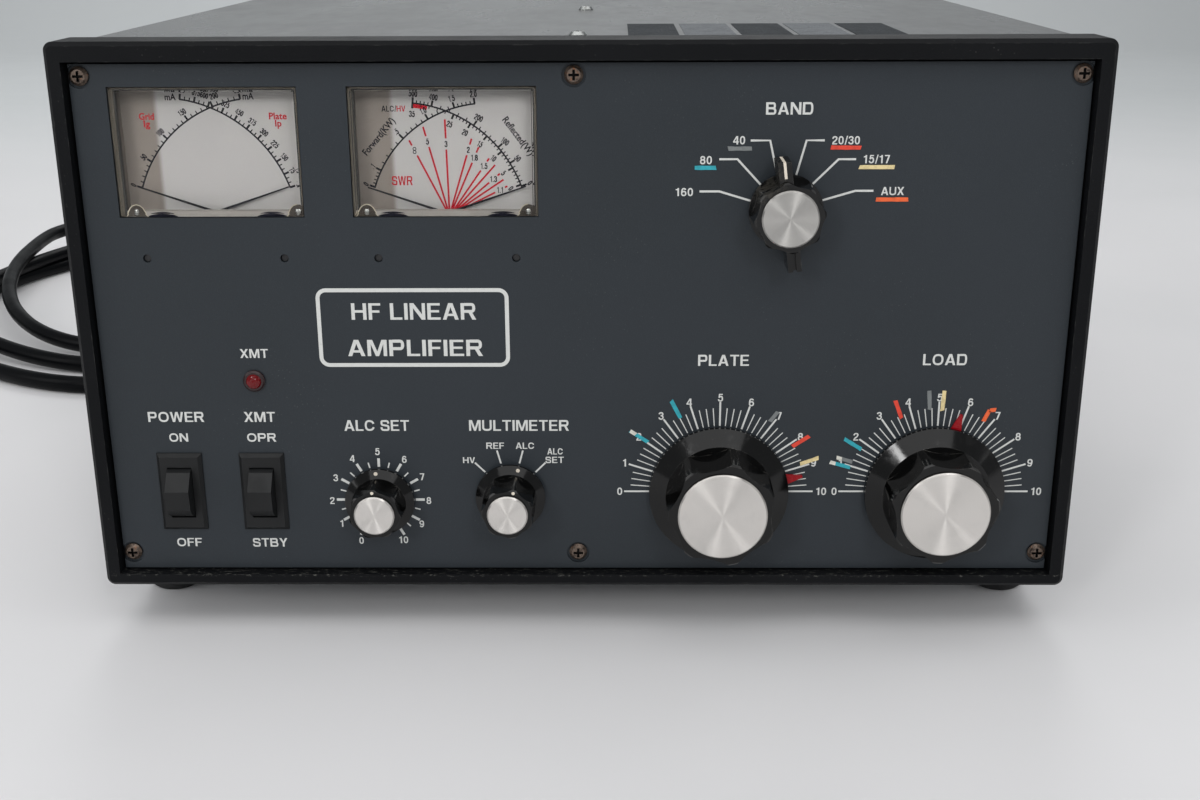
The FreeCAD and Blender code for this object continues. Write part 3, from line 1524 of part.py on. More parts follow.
def make_variable_capacitor(name):
    """Frame with its fixed plates, and the rotor whose half-round plates turn between them."""
    count = int(size(f"{name}_capacitor_plates"))
    pitch = f"(dim.capacitor_length / (dim.{name}_capacitor_plates + 1))"
    half = "dim.capacitor_half_width"
    front = "dim.capacitor_front"
    back = "(dim.capacitor_front + dim.capacitor_length)"
    foot = f"{FLOOR_TOP} - dim.{name}_height"
    walls = (
        ("front", (front, f"{front} + dim.capacitor_end_thickness")),
        ("back", (f"{back} - dim.capacitor_end_thickness", back)),
    )
    ends = [block(f"{name}_end_{side}", (f"-{half}", half), span, (foot, half)) for side, span in walls]
    rods = [
        cylinder(
            f"{name}_rod_{side}",
            "y",
            ("-dim.stator_rod_x", f"{front} + {OVERRUN}", f"{side} * dim.stator_rod_height"),
            "dim.stator_rod_radius",
            f"dim.capacitor_length - 2 * {OVERRUN}",
        )
        for side in (-1, 1)
    ]
    fixed = []
    moving = []
    for index in range(1, count + 1):
        at = f"({front} + {index} * {pitch})"
        fixed.append(
            block(
                f"{name}_stator_{index}",
                ("-dim.stator_outer", "-dim.stator_edge"),
                (at, f"{at} + dim.stator_plate_thickness"),
                ("-dim.stator_half_height", "dim.stator_half_height"),
            )
        )
        if index < count:
            moving.append(
                cylinder(
                    f"{name}_rotor_plate_{index}",
                    "y",
                    ("0", f"{at} + {pitch} / 2", "0"),
                    "dim.rotor_plate_radius",
                    "dim.stator_plate_thickness",
                    180,
                )
            )
    for item in moving:
        item.Placement.Rotation = FreeCAD.Rotation(FreeCAD.Vector(1, 0, 0), -90) * FreeCAD.Rotation(
            FreeCAD.Vector(0, 0, 1), 180
        )
    hole = cylinder(
        f"{name}_frame_bore",
        "y",
        ("0", f"{front} - {OVERRUN}", "0"),
        "dim.tuning_shaft_radius + dim.running_clearance",
        f"dim.capacitor_length + 2 * {OVERRUN}",
    )
    frame = cut(f"{name}_capacitor_frame", fuse(f"{name}_frame_whole", ends + rods + fixed), [hole])
    place_node(f"{name}_capacitor_frame", frame, f"dim.{name}_x", f"dim.{name}_height")

    shaft = cylinder(
        f"{name}_rotor_shaft",
        "y",
        ("0", "dim.sleeve_end", "0"),
        "dim.tuning_shaft_radius",
        f"{back} + dim.rotor_tail - dim.sleeve_end",
    )
    hub = cylinder(
        f"{name}_rotor_hub",
        "y",
        ("0", f"{front} + {pitch}", "0"),
        "dim.rotor_hub_radius",
        f"dim.capacitor_length - 2 * {pitch}",
    )
    turn = (FreeCAD.Vector(0, 1, 0), size(f"{name}_pointer_angle"))
    rotor = fuse(f"{name}_capacitor_rotor", [shaft, hub] + moving)
    place_node(f"{name}_capacitor_rotor", rotor, f"dim.{name}_x", f"dim.{name}_height", turn=turn)


# ---------------------------------------------------------------- inside the cabinet


def make_transformer():
    half = "dim.core_width / 2"
    middle = f"({FLOOR_TOP} + dim.core_height / 2)"
    core = block(
        "transformer_core",
        (f"-{half}", half),
        ("dim.transformer_front", "dim.transformer_front + dim.core_depth"),
        (FLOOR_TOP, f"{FLOOR_TOP} + dim.core_height"),
    )
    start = "(dim.transformer_front + (dim.core_depth - dim.winding_depth) / 2)"
    winding = new_body("transformer_winding")
    outline = sketch_on(winding, "winding_outline", "XZ_Plane", f"-{start}")
    wide = "dim.winding_width / 2"
    tall = "dim.winding_height / 2"
    draw_rectangle(outline, (f"-{wide}", wide), (f"{middle} - {tall}", f"{middle} + {tall}"))
    coil = pad(winding, "winding_pad", outline, "dim.winding_depth", reverse=True)
    bevel(winding, "winding_corners", coil, "dim.winding_round", runs_back, "Fillet")
    place_node("power_transformer", fuse("power_transformer", [core, winding]), "dim.transformer_x")


def make_filter_capacitors():
    half = "dim.board_width / 2"
    board = block(
        "capacitor_board",
        (f"-{half}", half),
        ("dim.board_front", "dim.board_front + dim.board_thickness"),
        (FLOOR_TOP, f"{FLOOR_TOP} + dim.board_height"),
    )
    cans = []
    for row in range(2):
        for column in range(4):
            across = f"({column} - 1.5) * dim.can_pitch"
            height = f"{FLOOR_TOP} + dim.board_height / 2 + ({row} - 0.5) * dim.can_pitch"
            start = (across, "dim.board_front - dim.can_length", height)
            length = f"dim.can_length + {OVERRUN}"
            cans.append(cylinder(f"can_{row}_{column}", "y", start, "dim.can_radius", length))
    place_node("filter_capacitors", fuse("filter_capacitors", [board] + cans), BOARD_MIDDLE)


def make_tube():
    base = f"({FLOOR_TOP} + dim.socket_height - dim.tube_seat)"
    top = f"({base} + dim.tube_height)"
    bulb = turned(
        "amplifier_tube",
        [
            ("0", base),
            ("dim.tube_neck_radius", base),
            ("dim.tube_neck_radius", f"{base} + dim.tube_neck_height"),
            ("dim.tube_bulb_radius", f"{base} + dim.tube_shoulder_height"),
            ("dim.tube_bulb_radius", f"{top} - dim.tube_dome_height"),
            ("dim.tube_bulb_radius * 0.8", f"{top} - dim.tube_dome_bend"),
            ("dim.tube_cap_radius + dim.tube_cap_ledge", f"{top} - dim.tube_cap_height"),
            ("dim.tube_cap_radius", f"{top} - dim.tube_cap_height"),
            ("dim.tube_cap_radius", top),
            ("0", top),
        ],
        "XZ_Plane",
    )
    place_node("amplifier_tube", bulb, "dim.tube_x", back="dim.tube_from_front")
    bore = "dim.tube_neck_radius + dim.seat_gap"
    seat = f"{FLOOR_TOP} + dim.socket_height - dim.tube_seat"
    socket = turned(
        "tube_socket",
        [
            ("0", FLOOR_TOP),
            ("dim.socket_radius", FLOOR_TOP),
            ("dim.socket_radius", f"{FLOOR_TOP} + dim.socket_height"),
            (bore, f"{FLOOR_TOP} + dim.socket_height"),
            (bore, seat),
            ("0", seat),
        ],
        "XZ_Plane",
    )
    place_node("tube_socket", socket, "dim.tube_x", back="dim.tube_from_front")


def make_tank_coil():
    """Copper turns on a ribbed former, carried on two legs."""
    turns = int(size("coil_turns"))
    pitch = "(dim.coil_length / (dim.coil_turns + 1))"
    inner = "(dim.coil_former_radius - dim.coil_former_wall)"
    profile = [(inner, "0"), ("dim.coil_former_radius", "0")]
    for index in range(1, turns + 1):
        low = f"{index} * {pitch} - dim.coil_wire / 2"
        high = f"{index} * {pitch} + dim.coil_wire / 2"
        profile += [
            ("dim.coil_former_radius", low),
            ("dim.coil_radius", f"{low} + dim.coil_wire_round"),
            ("dim.coil_radius", f"{high} - dim.coil_wire_round"),
            ("dim.coil_former_radius", high),
        ]
    profile += [("dim.coil_former_radius", "dim.coil_length"), (inner, "dim.coil_length")]
    winding = turned("tank_winding", profile)
    place(winding, "0", "dim.coil_front", "dim.coil_height")
    wide = "dim.coil_leg_width / 2"
    far = "(dim.coil_front + dim.coil_length - dim.coil_leg_thickness - dim.coil_leg_inset)"
    legs = [
        block(
            f"coil_leg_{index}",
            (f"-{wide}", wide),
            (f"{start} + dim.coil_leg_inset", f"{start} + dim.coil_leg_thickness"),
            (FLOOR_TOP, f"dim.coil_height - {inner} - dim.coil_leg_drop"),
        )
        for index, start in enumerate(("dim.coil_front", far))
    ]
    place_node("tank_coil", fuse("tank_coil", [winding] + legs), "dim.coil_x")


def make_fan():
    back = REAR_INSIDE
    front = f"({back} - dim.fan_depth)"
    half = "dim.fan_half_width"
    shell = block("fan_block", (f"-{half}", half), (front, back), (f"-{half}", half))
    duct = cylinder(
        "fan_duct",
        "y",
        ("0", f"{front} - {OVERRUN}", "0"),
        "dim.fan_duct_radius",
        f"dim.fan_depth + 2 * {OVERRUN}",
    )
    spider_front = f"({back} - dim.fan_spider_thickness)"
    motor = cylinder(
        "fan_motor", "y", ("0", spider_front, "0"), "dim.fan_hub_radius", "dim.fan_spider_thickness"
    )
    thin = "dim.fan_strut_width / 2"
    reach = f"(dim.fan_duct_radius + {OVERRUN})"
    struts = [
        block("fan_strut_across", (f"-{reach}", reach), (spider_front, back), (f"-{thin}", thin)),
        block("fan_strut_up", (f"-{thin}", thin), (spider_front, back), (f"-{reach}", reach)),
    ]
    boss_front = f"({spider_front} - dim.fan_boss_length)"
    boss = cylinder(
        "fan_boss",
        "y",
        ("0", boss_front, "0"),
        "dim.fan_boss_radius",
        "dim.fan_spider_thickness + dim.fan_boss_length",
    )
    bore = cylinder(
        "fan_bore",
        "y",
        ("0", f"{boss_front} - {OVERRUN}", "0"),
        "dim.fan_spindle_radius + dim.running_clearance",
        f"{OVERRUN} + dim.fan_spindle_reach + dim.seat_gap",
    )
    housing = cut("fan_shell", shell, [duct])
    frame = cut("fan_frame", fuse("fan_frame_whole", [housing, motor, boss] + struts), [bore])
    place_node("fan_frame", frame, "dim.fan_x", "dim.fan_height")

    hub_back = f"({boss_front} - dim.fan_hub_gap)"
    hub_front = f"({hub_back} - dim.fan_hub_depth)"
    hub = cylinder("rotor_hub", "y", ("0", hub_front, "0"), "dim.fan_hub_radius", "dim.fan_hub_depth")
    spindle = cylinder(
        "rotor_spindle",
        "y",
        ("0", f"{hub_back} - {OVERRUN}", "0"),
        "dim.fan_spindle_radius",
        f"{OVERRUN} + dim.fan_hub_gap + dim.fan_spindle_reach",
    )
    blades = []
    count = int(size("fan_blades"))
    for index in range(count):
        blade = doc.addObject("Part::Box", f"fan_blade_{index}")
        blade.setExpression("Length", "dim.fan_blade_thickness")
        blade.setExpression("Width", "dim.fan_blade_width")
        blade.setExpression("Height", "dim.fan_blade_radius - dim.fan_hub_radius + dim.fan_blade_root")
        about_y = FreeCAD.Rotation(FreeCAD.Vector(0, 1, 0), 360 * index / count)
        pitch = FreeCAD.Rotation(FreeCAD.Vector(0, 0, 1), size("fan_blade_pitch"))
        spin = about_y * pitch
        corner = FreeCAD.Vector(-size("fan_blade_thickness") / 2, -size("fan_blade_width") / 2, 0)
        root = size("fan_hub_radius") - size("fan_blade_root")
        lift = about_y.multVec(FreeCAD.Vector(0, 0, root))
        offset = spin.multVec(corner) + lift
        blade.Placement = FreeCAD.Placement(offset, spin)
        middle = f"{hub_front} + dim.fan_hub_depth / 2"
        blade.setExpression("Placement.Base.y", f"{middle} + ({offset.y})")
        blades.append(blade)
    rotor = fuse("fan_rotor", [hub, spindle] + blades)
    place_node("fan_rotor", rotor, "dim.fan_x", "dim.fan_height")


# ---------------------------------------------------------------- rear fittings and cord


def make_rear_connectors():
    back = "dim.cabinet_depth"
    sockets = []
    for index in range(2):
        half = "dim.connector_flange / 2"
        flange = block(
            f"connector_flange_{index}",
            (f"-{half}", half),
            (back, f"{back} + dim.connector_flange_thickness"),
            (f"-{half}", half),
        )
        barrel = cylinder(
            f"connector_barrel_{index}",
            "y",
            ("0", back, "0"),
            "dim.connector_radius",
            "dim.connector_reach",
        )
        inner = cylinder(
            f"connector_body_{index}",
            "y",
            ("0", f"{back} - dim.connector_body_depth", "0"),
            "dim.connector_body_radius",
            f"dim.connector_body_depth + {OVERRUN}",
        )
        hole = cylinder(
            f"connector_contact_{index}",
            "y",
            ("0", f"{back} + {OVERRUN}", "0"),
            "dim.connector_contact_radius",
            "dim.connector_reach",
        )
        item = cut(f"connector_{index}", fuse(f"connector_whole_{index}", [flange, barrel, inner]), [hole])
        place(item, "dim.connector_x", "0", f"dim.connector_height + {index} * dim.connector_pitch")
        sockets.append(item)
    for index in range(2):
        jack = turned(
            f"phono_{index}",
            [
                ("0", f"{back} - dim.phono_body_depth"),
                ("dim.phono_body_radius", f"{back} - dim.phono_body_depth"),
                ("dim.phono_body_radius", back),
                ("dim.phono_flange_radius", back),
                ("dim.phono_flange_radius", f"{back} + dim.phono_flange_thickness"),
                ("dim.phono_radius", f"{back} + dim.phono_flange_thickness"),
                ("dim.phono_radius", f"{back} + dim.phono_reach"),
                ("dim.phono_contact_radius", f"{back} + dim.phono_reach"),
                ("dim.phono_contact_radius", f"{back} + dim.phono_floor"),
                ("0", f"{back} + dim.phono_floor"),
            ],
        )
        place(jack, "dim.phono_x", "0", f"dim.phono_height + {index} * dim.phono_pitch")
        sockets.append(jack)
    place_node("rear_connectors", group("rear_connectors", sockets))


def make_strain_relief():
    back = "dim.cabinet_depth"
    item = turned(
        "strain_relief",
        [
            ("0", f"{back} - dim.relief_body_depth"),
            ("dim.relief_body_radius", f"{back} - dim.relief_body_depth"),
            ("dim.relief_body_radius", back),
            ("dim.relief_flange_radius", back),
            ("dim.relief_flange_radius", f"{back} + dim.relief_flange_thickness"),
            ("dim.relief_nose_radius", f"{back} + dim.relief_flange_thickness"),
            ("dim.relief_nose_radius - dim.relief_nose_taper", f"{back} + dim.relief_reach"),
            ("0", f"{back} + dim.relief_reach"),
        ],
    )
    place_node("strain_relief", item, "dim.relief_x", "dim.relief_height")


def rounded_path(points):
    """Straight runs through the points, joined by tangent arcs of 0.45 of the shorter run."""
    points = [FreeCAD.Vector(*point) for point in points]
    edges = []
    radii = []
    length = 0.0
    start = points[0]
    for before, here, after in zip(points, points[1:], points[2:]):
        run_in = here - before
        run_out = after - here
        half_turn = run_in.getAngle(run_out) / 2
        reach = 0.45 * min(run_in.Length, run_out.Length)
        radius = reach / math.tan(half_turn)
        way_in = run_in.normalize()
        way_out = run_out.normalize()
        enter = here - way_in * reach
        leave = here + way_out * reach
        bisector = (way_out - way_in).normalize()
        centre = here + bisector * (radius / math.cos(half_turn))
        middle = centre - bisector * radius
        edges.append(Part.LineSegment(start, enter).toShape())
        edges.append(Part.Arc(enter, middle, leave).toShape())
        length += (enter - start).Length + radius * 2 * half_turn
        radii.append(round(radius, 1))
        start = leave
    edges.append(Part.LineSegment(start, points[-1]).toShape())
    length += (points[-1] - start).Length
    return Part.Wire(edges), radii, length


def cord_tube(name, points):
    """A round cord along a rounded path, with its bend radii and its volume printed for comparison."""
    path, radii, length = rounded_path(points)
    radius = size("cord_radius")
    heading = path.Edges[0].tangentAt(path.Edges[0].FirstParameter)
    section = Part.Wire([Part.makeCircle(radius, FreeCAD.Vector(*points[0]), heading)])
    tube = path.makePipeShell([section], True, False)
    expected = math.pi * radius**2 * length
    print(f"{name}: bend radii {radii}, length {length:.1f}, volume ratio {tube.Volume / expected:.4f}")
    return tube


def coil_middle():
    """The middle of the cord's coil, beside and behind the cabinet."""
    back = (size("plate_reach") + size("cabinet_depth") - size("connector_reach")) / 2
    across = -size("cabinet_width") / 2 - size("cord_coil_from_side")
    return across, back + size("cord_coil_from_back")


def cord_routes():
    """Points of the lead, from the strain relief to the coil, and of the tail, from the coil to the plug."""
    front = (size("plate_reach") - size("cabinet_depth") - size("connector_reach")) / 2
    exit_x = size("relief_x")
    exit_y = front + size("cabinet_depth") + size("relief_reach")
    exit_z = size("foot_height") + size("relief_height")
    floor = size("cord_radius") + 0.1
    lead = [
        (exit_x, exit_y, exit_z),
        (exit_x - 0.3, exit_y + 24.0, exit_z - 0.5),
        (exit_x - 2.5, exit_y + 52.0, exit_z - 8.0),
        (exit_x - 7.0, exit_y + 81.0, exit_z - 21.0),
        (exit_x - 15.0, exit_y + 112.0, exit_z - 34.5),
        (exit_x - 28.0, exit_y + 141.0, floor + 2.4),
        (exit_x - 48.0, exit_y + 167.0, floor + 0.3),
        (exit_x - 75.0, exit_y + 188.0, floor),
        (exit_x - 106.0, exit_y + 204.0, floor + 0.1),
        (exit_x - 140.0, exit_y + 217.0, floor),
    ]
    coil_x, coil_y = coil_middle()
    tail = [
        (coil_x + 82.0, coil_y - 51.0, floor),
        (coil_x + 81.6, coil_y - 31.0, floor + 1.2),
        (coil_x + 78.0, coil_y - 12.0, floor + 4.4),
        (coil_x + 70.5, coil_y + 6.0, floor + 7.0),
        (coil_x + 61.5, coil_y + 24.0, size("plug_height") / 2),
    ]
    return lead, tail


def make_cord():
    """The lead and the tail as tubes, and the coil between them as one oval ring of its outer shape."""
    lead, tail = cord_routes()
    item = doc.addObject("Part::Feature", "cord_lead")
    item.Shape = Part.makeCompound([cord_tube("lead", lead), cord_tube("tail", tail)])
    item.Label = "cord_lead"
    nodes.append(item)

    coil_x, coil_y = coil_middle()
    middles = {
        "cord_coil": (coil_x, coil_y),
        "cord_coil_hole": (coil_x + size("cord_coil_hole_across"), coil_y + size("cord_coil_hole_back")),
    }
    ovals = []
    for name, (across, back) in middles.items():
        oval = doc.addObject("Part::Ellipse", f"{name}_oval")
        lean = 90 + size(f"{name}_tilt")
        oval.Placement.Rotation = FreeCAD.Rotation(FreeCAD.Vector(0, 0, 1), lean)
        oval.setExpression("MajorRadius", f"dim.{name}_half_length")
        oval.setExpression("MinorRadius", f"dim.{name}_half_width")
        oval.Placement.Base = FreeCAD.Vector(across, back, 0)
        solid = doc.addObject("Part::Extrusion", f"{name}_solid")
        solid.Base = oval
        solid.Dir = FreeCAD.Vector(0, 0, 1)
        solid.Solid = True
        solid.setExpression("LengthFwd", "dim.cord_coil_height")
        ovals.append(solid)
    ring = cut("cord_coil", ovals[0], ovals[1:])
    ring.Label = "cord_coil"
    nodes.append(ring)
    make_plug(tail[-1])


def make_plug(end):
    """A moulded three-pin plug that lies on the table, drawn along +Y from the end of its neck."""
    body = new_body("plug_body")
    outline = sketch_on(body, "plug_outline", "XZ_Plane", "-dim.plug_neck_length")
    wide = "dim.plug_width / 2"
    tall = "dim.plug_height / 2"
    draw_rectangle(outline, (f"-{wide}", wide), (f"-{tall}", tall))
    grip = pad(body, "plug_grip", outline, "dim.plug_length", reverse=True)
    bevel(body, "plug_rounding", grip, "dim.plug_round", runs_back, "Fillet")
    neck = turned(
        "plug_neck",
        [
            ("0", "0"),
            ("dim.cord_radius + dim.plug_neck_wall", "0"),
            ("dim.plug_neck_radius", "dim.plug_neck_length"),
            ("dim.plug_neck_radius", f"dim.plug_neck_length + {OVERRUN}"),
            ("0", f"dim.plug_neck_length + {OVERRUN}"),
        ],
    )
    face = "(dim.plug_neck_length + dim.plug_length)"
    thin = "dim.plug_blade_thickness / 2"
    rise = "dim.plug_blade_rise"
    blades = []
    for side in (-1, 1):
        middle = f"{side} * dim.plug_blade_offset"
        blades.append(
            block(
                f"plug_blade_{side}",
                (f"{middle} - {thin}", f"{middle} + {thin}"),
                (f"{face} - {OVERRUN}", f"{face} + dim.plug_blade_length"),
                (f"{rise} - dim.plug_blade_width / 2", f"{rise} + dim.plug_blade_width / 2"),
            )
        )
    pin = cylinder(
        "plug_pin",
        "y",
        ("0", f"{face} - {OVERRUN}", "-dim.plug_pin_drop"),
        "dim.plug_pin_radius",
        f"dim.plug_pin_length + {OVERRUN}",
    )
    plug = fuse("power_plug", [body, neck, pin] + blades)
    turn = FreeCAD.Rotation(FreeCAD.Vector(0, 0, 1), size("plug_turn"))
    plug.Placement = FreeCAD.Placement(FreeCAD.Vector(*end), turn)
    plug.Label = "power_plug"
    nodes.append(plug)


fill_sheet()
make_front_bezel()
make_front_panel()
make_chassis_pan()
make_rear_panel()
make_top_cover()
make_rf_partition()
make_panel_screws()
make_cover_screws()
make_rubber_feet()
make_meter("left", (("grid_needle", -1, 0), ("plate_needle", 1, 1)))
make_meter("right", (("forward_needle", -1, 0), ("reflected_needle", 1, 1)))
make_switch("power", "power_rocker")
make_switch("standby", "standby_rocker")
make_lamp()
make_small_controls()
make_band_knob()
make_tuning_knobs()
make_potentiometer()
make_multimeter_switch()
make_band_switch()
for tuning in ("plate", "load"):
    make_pointer(tuning)
    make_variable_capacitor(tuning)
make_vernier_drives()
make_transformer()
make_filter_capacitors()
make_tube()
make_tank_coil()
make_fan()
make_rear_connectors()
make_strain_relief()
make_cord()
doc.recompute()

failed = [item.Name for item in doc.Objects if "Invalid" in item.State or "Error" in item.State]
if failed:
    raise RuntimeError(f"failed features: {failed}")
for node in nodes:
    if node.Shape.isNull() or not node.Shape.isValid():
        raise RuntimeError(f"bad shape: {node.Label}")
os.makedirs("parts", exist_ok=True)
for node in nodes:
    node.Shape.exportStep(f"parts/{node.Label}.step")
print(len(nodes), "nodes written")
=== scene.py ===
"""Looks of a desktop HF linear amplifier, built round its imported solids.

Places are in millimetres from the middle of the bezel's lower front edge, and spot() turns them into
the frame's metres. Textures, lamps and the cord use the frame's own axes.
"""

import json
import random
from math import cos, hypot, pi, radians, sin

import bmesh
import bpy
from mathutils import Matrix, Vector


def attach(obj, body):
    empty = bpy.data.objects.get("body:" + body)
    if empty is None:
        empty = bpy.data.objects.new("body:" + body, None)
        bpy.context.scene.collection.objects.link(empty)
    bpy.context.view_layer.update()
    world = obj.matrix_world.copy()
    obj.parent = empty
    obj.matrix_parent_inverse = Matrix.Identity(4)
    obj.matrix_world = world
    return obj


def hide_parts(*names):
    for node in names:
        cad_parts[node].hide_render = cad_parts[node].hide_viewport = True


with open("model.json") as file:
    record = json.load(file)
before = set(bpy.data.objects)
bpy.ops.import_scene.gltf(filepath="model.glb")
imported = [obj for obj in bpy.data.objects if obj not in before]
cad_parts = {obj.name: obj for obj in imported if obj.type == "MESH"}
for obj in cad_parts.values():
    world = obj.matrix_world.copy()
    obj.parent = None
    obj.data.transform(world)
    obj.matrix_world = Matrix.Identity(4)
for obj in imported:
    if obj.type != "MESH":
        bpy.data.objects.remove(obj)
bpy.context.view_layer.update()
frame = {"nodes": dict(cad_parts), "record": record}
NODES = frame["nodes"]
DICE = random.Random(80)

MM = 0.001
BEZEL_Y = -192.75
FOOT = 18.0
PANEL_Y = 4.0
DIAL_Y = 13.4
PANE_BACK = 6.42
COVER_Z = 196.05

# Places that a texture keeps to, in metres.
BEZEL_LOW_EDGE = ((0.0215, 0.0223), (0.0232, 0.0227))
# The depth of the screws' recess floor, which takes painted shade.
SCREW_RECESS_PAINTED_SHADE = (-0.1893, -0.1891)
# Where a painted shadow darkens the left part of each dial card, and how soft its edge is.
CARD_PAINTED_SHADOWS = ((-0.17, -0.1458), (-0.09, -0.0648))
CARD_PAINTED_SHADOW_BLUR = 0.0012
BAND_GRIME_Z = (0.160, 0.170)
BAND_GRIME_X = (0.072, 0.060)


def spot(x, y, z):
    """A point in millimetres from the middle of the bezel's lower front edge."""
    return Vector((x * MM, (y + BEZEL_Y) * MM, (z + FOOT) * MM))


def rgb(red, green, blue):
    """A colour from screen values of 0 to 255."""
    linear = []
    for value in (red, green, blue):
        c = value / 255
        linear.append(c / 12.92 if c <= 0.04045 else ((c + 0.055) / 1.055) ** 2.4)
    return (*linear, 1.0)


def shaded(colour, share):
    """The same colour, darker or lighter by this share."""
    return (*(min(1.0, c * share) for c in colour[:3]), 1.0)


def new_object(name, data):
    item = bpy.data.objects.new(name, data)
    bpy.context.scene.collection.objects.link(item)
    return item


def between(a, b, share):
    """The point this share of the way from a to b."""
    return a[0] + (b[0] - a[0]) * share, a[1] + (b[1] - a[1]) * share


def polar(centre, radius, turn):
    """The point at this radius, turn degrees clockwise from upright."""
    angle = radians(turn)
    return centre[0] + radius * sin(angle), centre[1] + radius * cos(angle)


# ---- materials ----


class Finish:
    """A Principled material, with short ways to add textures, masks, mixes and bumps."""

    def __init__(self, name, colour, roughness, shine=0.5, **sockets):
        self.name = name
        self.material = bpy.data.materials.new(name)
        self.material.use_nodes = True
        self.tree = self.material.node_tree
        self.shader = self.tree.nodes["Principled BSDF"]
        self.where = self.node("ShaderNodeTexCoord").outputs["Object"]
        self.normal = None
        self.put("Base Color", colour)
        self.put("Roughness", roughness)
        self.put("Specular IOR Level", shine)
        self.base = colour
        self.rough = roughness
        for key, value in sockets.items():
            self.put(key.replace("_", " "), value)

    def node(self, kind, inputs=None, **props):
        item = self.tree.nodes.new(kind)
        for key, value in props.items():
            setattr(item, key, value)
        for key, value in (inputs or {}).items():
            self.feed(item.inputs[key], value)
        return item

    def feed(self, socket, value):
        if isinstance(value, bpy.types.NodeSocket):
            self.tree.links.new(value, socket)
        else:
            socket.default_value = value

    def put(self, name, value):
        self.feed(self.shader.inputs[name], value)

    def stretch(self, x, y, z):
        return self.node("ShaderNodeMapping", {"Vector": self.where, "Scale": (x, y, z)}).outputs["Vector"]

    def noise(self, scale, detail, rough=0.55, vector=None):
        inputs = {"Vector": vector or self.where, "Scale": scale, "Detail": detail, "Roughness": rough}
        return self.node("ShaderNodeTexNoise", inputs).outputs[0]

    def cells(self, scale):
        return self.node("ShaderNodeTexVoronoi", {"Vector": self.where, "Scale": scale}).outputs["Distance"]

    def ramp(self, value, low, high, start=0.0, end=1.0):
        inputs = {"Value": value, "From Min": low, "From Max": high, "To Min": start, "To Max": end}
        return self.node("ShaderNodeMapRange", inputs, interpolation_type="SMOOTHSTEP").outputs[0]

    def sum(self, operation, a, b):
        return self.node("ShaderNodeMath", {0: a, 1: b}, operation=operation).outputs[0]

    def both(self, a, b):
        return self.sum("MULTIPLY", a, b)

    def tint(self, amount, colour):
        """Lay a colour over what is there already."""
        inputs = {0: amount, 6: self.base, 7: colour}
        self.base = self.node("ShaderNodeMix", inputs, data_type="RGBA", clamp_factor=True).outputs[2]
        self.put("Base Color", self.base)
        return self

    def gloss(self, amount, roughness):
        """Take the roughness towards another value where amount is 1."""
        inputs = {0: amount, 2: self.rough, 3: roughness}
        self.rough = self.node("ShaderNodeMix", inputs, data_type="FLOAT", clamp_factor=True).outputs[0]
        self.put("Roughness", self.rough)
        return self

    def blotch(self, scale, detail, low, high, amount, colour):
        """Lay a colour over in patches of noise."""
        return self.tint(self.ramp(self.noise(scale, detail), low, high, 0.0, amount), colour)

    def patchy(self, scale, detail, roughness):
        """Take the roughness towards another value in patches of noise."""
        return self.gloss(self.ramp(self.noise(scale, detail), 0.4, 0.7), roughness)

    def bump(self, height, strength, depth):
        inputs = {"Height": height, "Strength": strength, "Distance": depth}
        if self.normal:
            inputs["Normal"] = self.normal
        self.normal = self.node("ShaderNodeBump", inputs).outputs["Normal"]
        self.put("Normal", self.normal)
        return self

    def edges(self, radius):
        """1 along hard edges and 0 away from them."""
        plain = self.node("ShaderNodeNewGeometry").outputs["Normal"]
        soft = self.node("ShaderNodeBevel", {"Radius": radius}, samples=4).outputs[0]
        dot = self.node("ShaderNodeVectorMath", {0: plain, 1: soft}, operation="DOT_PRODUCT")
        return self.ramp(dot.outputs["Value"], 0.995, 0.90, 0.0, 1.0)

    def facing(self, axis):
        """How squarely a face looks along one axis, either way: 1 straight at it and 0 across it."""
        normal = self.node("ShaderNodeNewGeometry").outputs["Normal"]
        parts = self.node("ShaderNodeSeparateXYZ", {"Vector": normal})
        return self.sum("ABSOLUTE", parts.outputs[axis], 0.0)

    def along(self, axis, low, high):
        """0 below low and 1 above high, in metres along one axis."""
        parts = self.node("ShaderNodeSeparateXYZ", {"Vector": self.where})
        return self.ramp(parts.outputs[axis], low, high)


def worn(finish, colour, radius, scale, amount):
    """Paint rubbed off along the edges, in patches."""
    patches = finish.ramp(finish.noise(scale, 6.0, 0.7), 0.50, 0.68, 0.0, amount)
    return finish.tint(finish.both(finish.edges(radius), patches), colour)


def dusty(finish, scale, colour, amount):
    """Fine specks of dust, thicker in some places than in others."""
    specks = finish.ramp(finish.cells(scale), 0.16, 0.05)
    drifts = finish.ramp(finish.noise(28, 3.0), 0.45, 0.75, 0.0, amount)
    return finish.tint(finish.both(specks, drifts), colour)


def panel_paint():
    f = Finish("panel_paint", rgb(43, 48, 53), 0.46, shine=0.26)
    f.blotch(9, 4.0, 0.35, 0.7, 0.55, rgb(38, 43, 47))
    f.blotch(2600, 2.0, 0.45, 0.75, 0.22, rgb(57, 63, 68))
    dusty(f, 620, rgb(130, 130, 125), 0.22)
    f.patchy(34, 5.0, 0.38)
    scratches = f.noise(140, 2.0, 0.5, f.stretch(1.0, 1.0, 9.0))
    f.gloss(f.ramp(scratches, 0.66, 0.70, 0.0, 0.6), 0.30)
    return f.bump(f.noise(2300, 3.0), 0.16, 0.0002)


